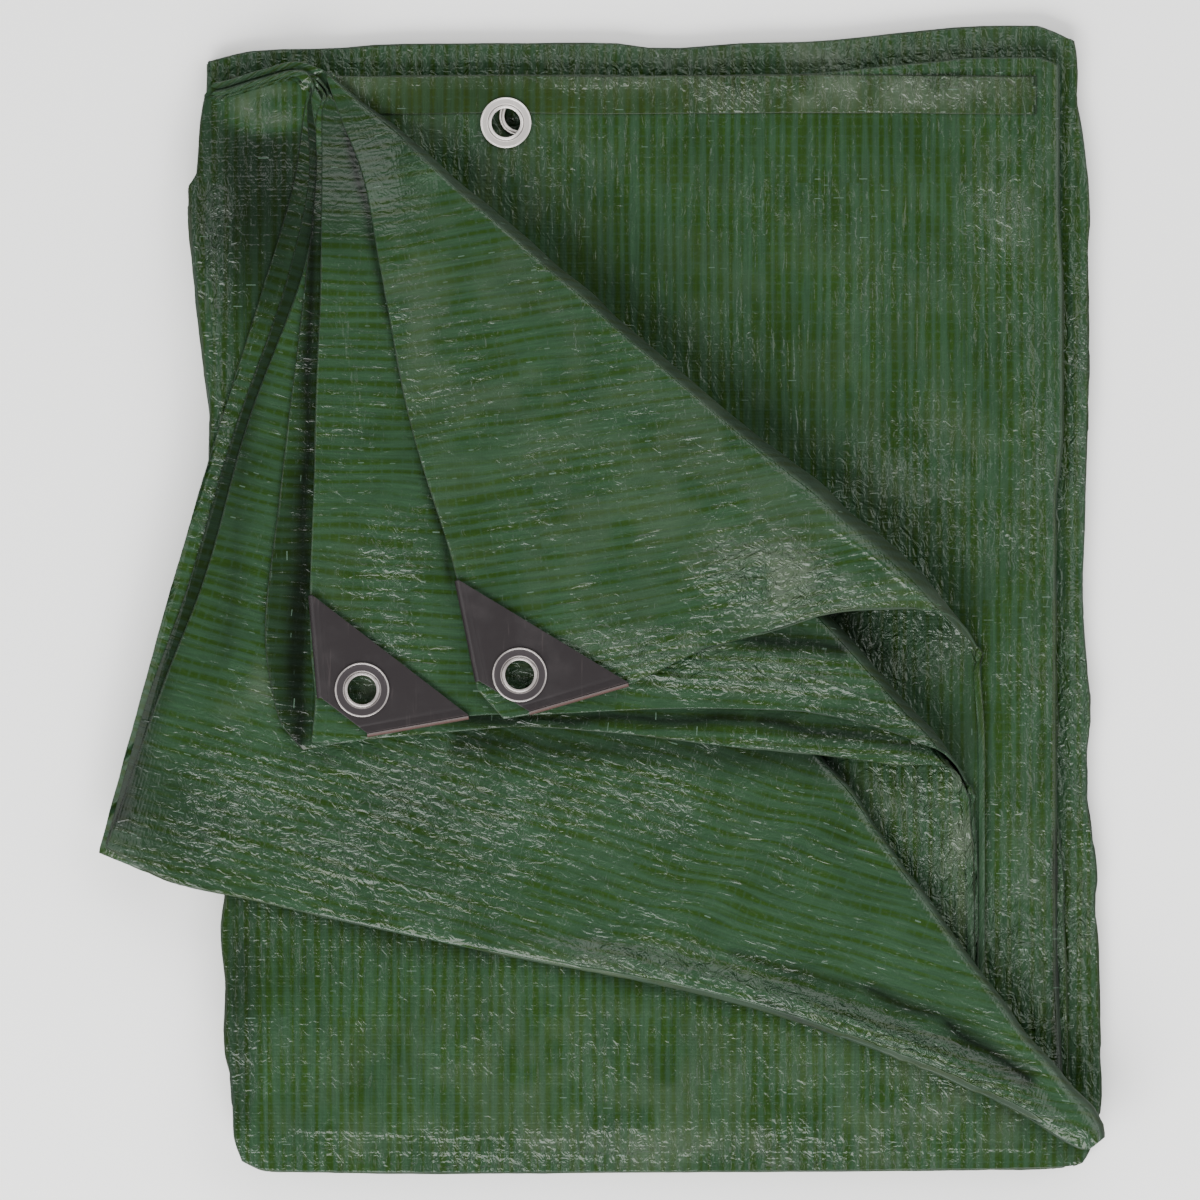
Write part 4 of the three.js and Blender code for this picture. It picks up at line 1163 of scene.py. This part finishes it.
def flap_sheet(flap, layer, shape_edge=None):
    across, shift = flap["across"], layer["shift"]
    rows = int((flap["last"] - flap["first"]) / layer["row_step"])
    at = np.linspace(flap["first"] + ROW_MARGIN, flap["last"] - ROW_MARGIN, rows)[:, None]
    on_line = [flap["start"][axis] + flap["along"][axis] * at + across[axis] * shift for axis in (0, 1)]
    read = {label: curve(at) for label, curve in flap["read"].items()}
    bulge, lift = read["bulge"] * (1 + 0.16 * noise(at, at * 0, 17, 3)), read["lift"]
    rise = turned_level(layer, *on_line) + lift - layer["flat"]
    roll = np.pi * (bulge + rise / 2) / 2
    reach = reach_to_edge(*on_line, across)
    free = np.maximum(0, read[layer["column"]] - shift) + roll * read["turn"]
    free = free_length(flap, at, free)
    flat_end, roll_end = np.minimum(0, free), np.minimum(free, roll)
    lengths = np.concatenate([
        lerp(-reach, flat_end, spread(*layer["flat_steps"])[None, :-1]),
        lerp(flat_end, roll_end, np.linspace(0, 1, layer["roll_steps"], endpoint=False)[None, :]),
        lerp(roll_end, free, np.linspace(0, 1, layer["turned_steps"] + 1)[None, :]),
    ], axis=1)
    angle = np.pi * np.clip(lengths, 0, roll) / roll
    past = np.maximum(0, lengths - roll)
    in_roll = (lengths > 0) & (lengths < roll)
    offset = np.where(in_roll, -bulge * np.sin(angle), past + np.maximum(0, -lengths))
    x, y = on_line[0] + across[0] * offset, on_line[1] + across[1] * offset
    y = y + flap_top_shift(x) * smooth_share(y, SHIFT_FROM, SHIFT_TO)
    settle = np.maximum(0, 1 - past / LIFT_REACH) ** 2
    level = turned_level(layer, x, y) + lift * settle
    level = np.where(in_roll, layer["flat"] + rise * (1 - np.cos(angle)) / 2, level)
    level = np.where(lengths <= 0, layer["flat"], level)
    if shape_edge is not None:
        level = level + smooth_share(past, 0, EDGE_SHAPED_PAST) * shape_edge(at, free - lengths)
    points = np.stack([x, y, layer_height(level, x, y)], axis=-1)
    cloth = np.stack([on_line[axis] - across[axis] * lengths for axis in (0, 1)], axis=-1)
    return points, cloth


def lay_flap(name, flap, layer, look, seed, holes=(), shape_edge=None, material=TURNED_CLOTH):
    points, cloth = flap_sheet(flap, layer, shape_edge)
    points, cloth = rims_at_ends(points, cloth, layer["rim"], 1, layer["fold"], 1)
    points, marks = creased_sheet(points, cloth, look, seed)
    return cloth_sheet(name, points, cloth, marks, holes, material)


print("flaps are pinched at", PINCH_PLACE, "mm")

# %% [markdown]
# For each sheet of a flap a small table names the column with its free edge, how far it lies inside
# the outer sheet, its levels and rims, and how finely the grid is divided: the distance of the rows,
# then the steps in the flat part, in the roll and in the turned part.

# %% Piece: right flap, with the upper corner pocket
FOLD_RIM = 0.85
SAG, SAG_REACH = 0.7, 14
RIGHT_LAYER = {
    "column": "across", "shift": 0, "flat": 14.2, "pinched": 29.4, "turned": RIGHT_LEVEL,
    "rim": HEM_RIM, "fold": FOLD_RIM,
    "row_step": 1.5, "flat_steps": [(0.8, 14), (1, 26)], "roll_steps": 26, "turned_steps": 92,
}
RIGHT_LOOK = {
    "creased": 0.3,
    "pale": 0.15,
    "patches": [
        {"x": -52, "y": 108, "wide": 48, "tall": 34, "creased": 0.1, "pale": 0.4},
        {"x": 30, "y": 50, "wide": 70, "tall": 50, "creased": 0.1, "pale": 0.3},
        {"x": 60, "y": 12, "wide": 24, "tall": 10, "creased": 0.6, "pale": 0.8},
        {"x": 68, "y": 6, "wide": 26, "tall": 20, "creased": 0.9, "pale": 0.3},
        {"x": 81, "y": 3, "wide": 17, "tall": 14, "creased": 1.1, "pale": 0.4},
        {"x": -90, "y": 186, "wide": 26, "tall": 26, "pale": -0.45},
        {"x": -20, "y": -22, "wide": 50, "tall": 14, "creased": 0.7, "pale": 0.3},
        {"x": 120, "y": -10, "wide": 36, "tall": 22, "creased": 0.8, "pale": 0.3},
        {"x": -78, "y": 150, "wide": 14, "tall": 40, "creased": 0.4, "pale": 0.1},
        {"x": 30, "y": -22, "wide": 40, "tall": 12, "creased": 0.8, "pale": 0.3},
    ],
    "creases": [
        (-78.4, 150.4, -79.2, 127.2, 1.4, -0.7), (-79.2, 127.2, -61, 132, 1.4, -0.6),
        (50, 10, 90, -8, 2.2, 0.6), (-60, 90, -40, 94, 1.4, -0.3), (90, 30, 128, 2, 2.6, 0.5),
        (-55, 20, -20, 12, 1.8, 0.3),
    ],
}


def sag_left_hem(at, from_edge):
    """The hem at the flap's upper left hangs a little lower than the cloth beside it."""
    on_hem = smooth_share(at, 20, 60) * smooth_share(185 - at, 0, 40)
    return -SAG * on_hem * np.exp(-from_edge / SAG_REACH)


lay_flap(
    "right_flap", RIGHT_FLAP, RIGHT_LAYER, RIGHT_LOOK, seed=310,
    holes=[cut_for(RIGHT_EYELET)], shape_edge=sag_left_hem)

# %% Piece: left flap, with the lower corner pocket
LEFT_LAYER = {
    "column": "across", "shift": 0, "flat": 16.1, "pinched": 27.9, "turned": LEFT_LEVEL,
    "rim": HEM_RIM, "fold": FOLD_RIM,
    "row_step": 1.6, "flat_steps": [(0.75, 12), (1, 30)], "roll_steps": 20, "turned_steps": 96,
}
LEFT_LOOK = {
    "creased": 0.3,
    "shades": [
        (-100.5, 190, -89, 136, 4, -0.6), (-89, 136, -58, 6, 4, -0.6), (50, -14, 100, -20, 11, -0.85),
        (60, -34, 110, -42, 4, 0.4),
    ],
    "patches": [
        {"x": 32, "y": -14, "wide": 20, "tall": 8, "creased": 0.6, "pale": 2.2},
        {"x": -104, "y": 178, "wide": 16, "tall": 34, "pale": -0.4},
        {"x": 60, "y": -30, "wide": 50, "tall": 9, "creased": 0.9, "pale": 0.4},
        {"x": 108, "y": -55, "wide": 34, "tall": 24, "creased": 0.8, "pale": -0.2},
        # The next patch paints the cloth seen down the right eyelet's hole paler: painted light in the
        # hole's shadow.
        {"x": -32, "y": -29.8, "wide": 9, "tall": 9, "creased": 0.6, "pale": 1.4},
        {"x": -90, "y": 0, "wide": 22, "tall": 30, "creased": 0.6, "pale": 0.3},
        {"x": 150, "y": -120, "wide": 16, "tall": 100, "creased": 1.0, "pale": 0.3},
    ],
    "creases": [
        (-96.4, 28.8, -85.6, 21.2, 1.4, -0.6), (-85.6, 21.2, -63.2, 17.2, 1.4, -0.6),
        (-104, 120, -92, 60, 2.0, 0.4), (20, -30, 70, -34, 1.8, 0.5), (80, -30, 118, -42, 2.2, 0.5),
    ],
}
lay_flap(
    "left_flap", LEFT_FLAP, LEFT_LAYER, LEFT_LOOK, seed=320,
    holes=[cut_for(LEFT_EYELET)], shape_edge=sag_left_hem)

# %% Piece: sheet under the left flap
LEFT_UNDER_LAYER = {
    "column": "under", "shift": 2.1, "flat": 18.0, "pinched": 26.4, "turned": 27.7,
    "rim": HEM_RIM, "fold": FOLD_RIM,
    "row_step": 1.9, "flat_steps": [(0.6, 10), (1, 60)], "roll_steps": 14, "turned_steps": 64,
}
LEFT_UNDER_LOOK = {
    "creased": 0.4,
    "shades": [
        (-114, 180, -120, -62, 9, -0.9), (-60, -47, 60, -48, 7, -0.85), (60, -48, 140, -60, 9, -0.85),
    ],
    "patches": [
        {"x": 130, "y": -110, "wide": 34, "tall": 60, "creased": 1.2, "pale": 0.5},
        {"x": 146, "y": -94, "wide": 10, "tall": 34, "creased": 0.6, "pale": 1.2},
        {"x": 60, "y": -62, "wide": 60, "tall": 10, "creased": 0.8, "pale": 0.2},
        {"x": -128, "y": -10, "wide": 9, "tall": 70, "creased": -0.3, "pale": -0.5},
        # The next patch paints the cloth seen down the left eyelet's hole paler: painted light in the
        # hole's shadow.
        {"x": -94.8, "y": -35.8, "wide": 9, "tall": 9, "creased": 0.6, "pale": 1.8},
    ],
    "creases": [
        (105, -70, 140, -120, 2.0, 0.9), (140, -80, 144, -150, 2.0, 0.9), (112, -96, 134, -140, 1.8, 0.7),
        (146, -100, 150, -170, 1.6, 0.8),
    ],
}
lay_flap(
    "left_flap_under", LEFT_FLAP, LEFT_UNDER_LAYER, LEFT_UNDER_LOOK, seed=330,
    material=CLOTH)

# %% Piece: wide flap, the broad double flap under the two others
WIDE_LAYER = {
    "column": "across", "shift": 0, "flat": 19.9, "pinched": 24.9, "turned": 25.6,
    "rim": FOLD_RIM, "fold": FOLD_RIM,
    "row_step": 1.5, "flat_steps": [(1, 12)], "roll_steps": 12, "turned_steps": 168,
}
WIDE_LOOK = {
    "creased": 0.35,
    "shades": [
        (-122, 160, -196, -90, 14, -0.75), (-138, 100, -150, -30, 12, -0.35),
        (50, -141, 104, -155, 6, -0.45), (104, -155, 136, -167, 7, -0.75),
        (136, -167, 173, -193, 8, -0.85), (-60, -56, 125, -66, 17, -0.6), (60, -158, 196, -222, 4, -0.55),
    ],
    "patches": [
        {"x": -118, "y": -85, "wide": 50, "tall": 34, "creased": 0.9, "pale": -0.1},
        {"x": -140, "y": -38, "wide": 12, "tall": 14, "creased": 0.3, "pale": 0.9},
        {"x": -62, "y": -90, "wide": 30, "tall": 40, "creased": 0.5, "pale": -0.15},
        {"x": 0, "y": -146, "wide": 60, "tall": 9, "creased": 0.7, "pale": 0.4},
        {"x": 128, "y": -185, "wide": 78, "tall": 6, "turn": -25, "creased": 2.2, "pale": 0.3},
        {"x": 112, "y": -169, "wide": 60, "tall": 6, "turn": -25, "creased": 0.7, "pale": -0.2},
        {"x": -180, "y": -88, "wide": 26, "tall": 30, "pale": -0.35},
        {"x": 20, "y": -80, "wide": 60, "tall": 30, "creased": 0.4, "pale": 0.1},
    ],
    "creases": [
        (7.2, -65.6, -22, -82.8, 1.6, -0.8), (-22, -82.8, -43.2, -95.6, 1.6, -0.6),
        (-54.8, -48.8, -66.4, -120.8, 1.5, -0.4), (-144.4, 28, -131.6, 23.6, 1.4, -0.5),
        (-150, -60, -90, -70, 2.4, 0.5), (-120, -104, -60, -118, 2.2, 0.6), (-20, -100, 30, -130, 2.0, 0.3),
    ],
}
LIP_RISE, LIP_FALL_FROM, LIP_FALL_TO, LIP_HEIGHT = 3.4, 8, 19, 2.3
LIP_STARTS, LIP_GROWN, LIP_ENDS = 250, 400, 522
VALLEY, VALLEY_WIDTH = 0.5, 36


def lip_along_fold(at, from_edge):
    """A tube along the lower edge, steep outside and soft inside, and a shallow valley beside it."""
    grown = smooth_share(at, LIP_STARTS, LIP_GROWN) * smooth_share(LIP_ENDS - at, 0, 24)
    fall = smooth_share(from_edge, LIP_FALL_FROM, LIP_FALL_TO)
    tube = LIP_HEIGHT * smooth_share(from_edge, -1, LIP_RISE) * (1 - fall)
    past_valley = smooth_share(from_edge, LIP_FALL_TO, LIP_FALL_TO + VALLEY_WIDTH)
    return grown * (tube - VALLEY * fall * (1 - past_valley))


lay_flap(
    "wide_flap", WIDE_FLAP, WIDE_LAYER, WIDE_LOOK, seed=340,
    shape_edge=lip_along_fold)

# %% Piece: middle layer of the wide flap
INNER_RIM, INNER_FOLD = 0.3, 0.4
WIDE_MIDDLE_LAYER = {
    "column": "middle", "shift": 0.9, "flat": 20.85, "pinched": 24.1, "turned": 24.5,
    "rim": INNER_RIM, "fold": INNER_FOLD,
    "row_step": 2.4, "flat_steps": [(1, 4)], "roll_steps": 8, "turned_steps": 40,
}
# The middle layer only shows in the narrow gaps between the others, so all of it is painted darker, a
# painted shade.
WIDE_MIDDLE_LOOK = {"creased": 0.05, "pale": -0.65}
lay_flap(
    "wide_flap_middle", WIDE_FLAP, WIDE_MIDDLE_LAYER, WIDE_MIDDLE_LOOK, seed=350)

# %% Piece: under layer of the wide flap, whose flat part is the striped face at the lower left
WIDE_UNDER_LAYER = {
    "column": "under", "shift": 1.9, "flat": 21.8, "pinched": 23.4, "turned": 23.7,
    "rim": INNER_RIM, "fold": FOLD_RIM,
    "row_step": 1.6, "flat_steps": [(0.75, 135), (1, 14)], "roll_steps": 8, "turned_steps": 34,
}
WIDE_UNDER_LOOK = {
    "creased": 0.3,
    "pale": 0.1,
    "shades": [(-150, -108, -40, -140, 18, -0.6), (-40, -140, 90, -170, 12, -0.4)],
    "patches": [
        {"x": -145, "y": -175, "wide": 10, "tall": 60, "creased": 0.4, "pale": -0.5},
        {"x": -110, "y": -140, "wide": 50, "tall": 24, "creased": 0.2, "pale": -0.2},
        {"x": -20, "y": -220, "wide": 150, "tall": 10, "creased": 1.0, "pale": 0.6},
        {"x": 150, "y": -200, "wide": 50, "tall": 16, "creased": 0.4, "pale": 0.6},
        {"x": -154, "y": 100, "wide": 8, "tall": 110, "creased": 0.9, "pale": 0.1},
        {"x": -138, "y": 165, "wide": 34, "tall": 62, "creased": 0.1, "pale": -0.8},
        {"x": -133, "y": 197, "wide": 15, "tall": 9, "creased": 0.5, "pale": 2.2},
        {"x": -150, "y": 40, "wide": 10, "tall": 60, "creased": 0.2, "pale": -0.4},
        {"x": 20, "y": -190, "wide": 120, "tall": 30, "creased": 0.2, "pale": 0.3},
    ],
    "creases": [
        (-140, -220, 60, -221, 2.4, 0.3), (60, -220, 180, -219, 2.4, 0.3),
        (-145, -130, -142, -215, 2.2, 0.35), (-156, 150, -150, 60, 1.8, 0.5),
        (-120, -212, 0, -216, 1.6, 0.3),
    ],
}
WIDE_UNDER = lay_flap(
    "wide_flap_under", WIDE_FLAP, WIDE_UNDER_LAYER, WIDE_UNDER_LOOK, seed=360,
    material=CLOTH)
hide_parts("tarp")

# %% [markdown]
# ## Corner pockets
# A pocket is a piece of moulded plastic folded round the cloth's corner: two plates joined along the
# two hems by a rounded bead, open along the slanting side where the cloth goes in. It is made as
# a flattened tube. One direction of the grid runs from the cut-off corner to the slanting side and the
# other runs round over the top plate, round the bead, and back along the bottom plate.

# %% Bend a pocket
POCKET_LEG, POCKET_CUT, SLANT_ROOM = 60.4, 18.8, 0.5
POCKET_HALF, PLATE, CROWN = 1.75, 0.9, 0.12
PLATE_COLUMNS, PLATE_ROWS, BEAD_STEPS = 66, 72, 9
PLASTIC_CUT = 6.8
BEVEL, BEVEL_ANGLE = 0.18, 50
POCKETS = {
    "right": {"x": -46, "y": -51.2, "along": 16.2, "up": 101.5, "eyelet": RIGHT_EYELET},
    "left": {"x": -111.2, "y": -58, "along": 10, "up": 94.9, "eyelet": LEFT_EYELET},
}


def bead(distance):
    """The raised bead along a hem and the groove beside it."""
    return 0.3 * np.exp(-((distance - 1.6) / 1.5) ** 2) - 0.14 * np.exp(-((distance - 4.4) / 0.6) ** 2)


def pocket_loop():
    """One round of the tube: the share along a plate, the turn in a bead, which bead and which plate."""
    shares = np.linspace(0, 1, PLATE_COLUMNS)
    turns = np.pi * np.linspace(0, 1, BEAD_STEPS)[1:-1]
    loop = [(share, 0.0, 0.0, 1) for share in shares]
    loop += [(1.0, turn, 1.0, 0) for turn in turns]
    loop += [(share, 0.0, 0.0, -1) for share in shares[::-3]]
    loop += [(0.0, turn, -1.0, 0) for turn in turns]
    loop.append(loop[0])
    return [np.array(column)[None, :] for column in zip(*loop)]


def pocket_grid(pocket):
    along, up = math.radians(pocket["along"]), math.radians(pocket["up"])
    share, turn, side, face = pocket_loop()
    to_slant = np.linspace(0, 1, PLATE_ROWS)[:, None]
    hold = POCKET_HALF - PLATE / 2
    low = lerp(POCKET_CUT, POCKET_LEG - SLANT_ROOM, to_slant)
    out = hold * np.sin(turn)
    from_left = (1 - share) * low + share * POCKET_HALF - np.where(side > 0, out, 0)
    from_low = (1 - share) * POCKET_HALF + share * low - np.where(side < 0, out, 0)
    crown = CROWN * np.sin(np.pi * share) * np.sin(np.pi * to_slant)
    top = hold + bead(from_low) + bead(from_left) - 0.4 * bead(0) + crown
    z = np.where(side > 0, 1, -1) * hold * np.cos(turn)
    z = np.where(face > 0, top, np.where(face < 0, -hold, z))
    x = pocket["x"] + from_left * math.cos(along) + from_low * math.cos(up)
    y = pocket["y"] + from_left * math.sin(along) + from_low * math.sin(up)
    # A thin strip along the lower bead's outer edge is marked for a painted reddish highlight.
    edge_highlight = np.exp(-((from_low - 0.9) / 0.55) ** 2) * (from_low < 3)
    points = np.stack([x, y, z + pocket["eyelet"][2]], axis=-1)
    return points, np.stack([edge_highlight, 0 * edge_highlight], axis=-1)


def make_pocket(label, pocket):
    points, marks = pocket_grid(pocket)
    mesh = sheet_mesh("pocket_" + label, points, marks, marks, [cut_for(pocket["eyelet"], PLASTIC_CUT)])
    piece = finish_piece("pocket_" + label, mesh, PLASTIC)
    wall = piece.modifiers.new("plate", "SOLIDIFY")
    wall.thickness = PLATE * MM
    wall.offset = 0
    edge = piece.modifiers.new("edge", "BEVEL")
    edge.width = BEVEL * MM
    edge.segments = 2
    edge.limit_method = "ANGLE"
    edge.angle_limit = math.radians(BEVEL_ANGLE)
    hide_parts("corner_pocket_" + label)


for label, pocket in POCKETS.items():
    make_pocket(label, pocket)

# %% [markdown]
# ## Eyelets
# An eyelet is two pressed rings with a barrel between them. The profile below is drawn once: the
# rolled lip of the hole, a shallow dish, and the flat flange with its thin rounded rim. Turning it
# about the axis gives the ring. Each eyelet has its own grip, the thickness that it holds.

# %% Turn an eyelet
HOLE, BARREL, FLANGE = 5.75, 6.5, 10.9
HEM_FLANGE, LOWER_FLANGE = 10.2, 7.9
FLANGE_THICKNESS, EYELET_ROOM = 0.7, 0.3
LIP_RADIUS, RIM_RADIUS = 0.6, 0.42
DISH, GROOVE = 0.3, 0.44
TURNS = 96
HEM_GRIP, LOWER_GRIP, POCKET_GRIP = 1.3, 1.0, 1.0 + 2 * (0.35 + PLATE)
SEAM_GAP = 1e-6


def arc(middle_r, middle_h, radius, start, end, steps):
    angles = np.radians(np.linspace(start, end, steps))
    return [(middle_r + radius * math.cos(a), middle_h + radius * math.sin(a)) for a in angles]


def eyelet_profile(grip, flange):
    """Radius, height and the two marks, darker in hollows and on the flange, of each point."""
    seat = grip / 2 + EYELET_ROOM
    top = seat + FLANGE_THICKNESS
    lip = arc(HOLE + LIP_RADIUS, top - LIP_RADIUS, LIP_RADIUS, 180, 50, 9)
    upper = [(r, h, 1 if h < top - 0.5 else 0, 0) for r, h in lip]
    upper += [(HOLE + 1.15, top - DISH, 0, 0), (HOLE + 1.3, top - GROOVE, 0.9, 0)]
    upper += [(HOLE + 1.5, top - GROOVE, 0.9, 0), (HOLE + 1.7, top - DISH, 0, 0.3)]
    upper += [(HOLE + 2.0, top - DISH, 0, 1), (flange - 0.8, top - 0.2, 0, 1)]
    upper += [(flange - 0.6, top - 0.16, 0, 0.3)]
    upper += [(r, h, 0, 0) for r, h in arc(flange - RIM_RADIUS, top - 0.5, RIM_RADIUS, 100, 40, 5)]
    upper += [(flange, top - 0.6, 0.8, 0), (flange - 0.3, seat, 1, 0), (BARREL, seat, 1, 0)]
    lower = [(r, -h, darker_in_hollows, on_flange) for r, h, darker_in_hollows, on_flange in upper[::-1]]
    return upper + lower + [upper[0]]


def merge_seams(mesh):
    work = bmesh.new()
    work.from_mesh(mesh)
    bmesh.ops.remove_doubles(work, verts=work.verts, dist=SEAM_GAP)
    bmesh.ops.recalc_face_normals(work, faces=work.faces)
    work.to_mesh(mesh)
    work.free()


def make_eyelet(name, node, place, grip, flange, material):
    profile = np.array(eyelet_profile(grip, flange))
    turns = np.linspace(0, math.tau, TURNS + 1)[:, None]
    x = place[0] + profile[None, :, 0] * np.cos(turns)
    y = place[1] + profile[None, :, 0] * np.sin(turns)
    z = place[2] + profile[None, :, 1] + 0 * turns
    points = np.stack([x, y, z], axis=-1)
    marks = np.broadcast_to(profile[None, :, 2:], points.shape[:2] + (2,))
    mesh = sheet_mesh(name, points, marks, marks)
    merge_seams(mesh)
    piece = finish_piece(name, mesh, material)
    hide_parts(node)


make_eyelet("ring_hem", "hem_eyelet", HEM_EYELET, HEM_GRIP, HEM_FLANGE, HEM_METAL)
make_eyelet("ring_lower", "lower_eyelet", LOWER_EYELET, LOWER_GRIP, LOWER_FLANGE, HEM_METAL)
make_eyelet("ring_right", "corner_eyelet_right", RIGHT_EYELET, POCKET_GRIP, FLANGE, CORNER_METAL)
make_eyelet("ring_left", "corner_eyelet_left", LEFT_EYELET, POCKET_GRIP, FLANGE, CORNER_METAL)

# %% [markdown]
# ## Finish
# The last cell prints how many triangles there are in all.

# %% Count the triangles and finish
print("triangles in all:", sum(TRIANGLES.values()))
bpy.context.view_layer.update()
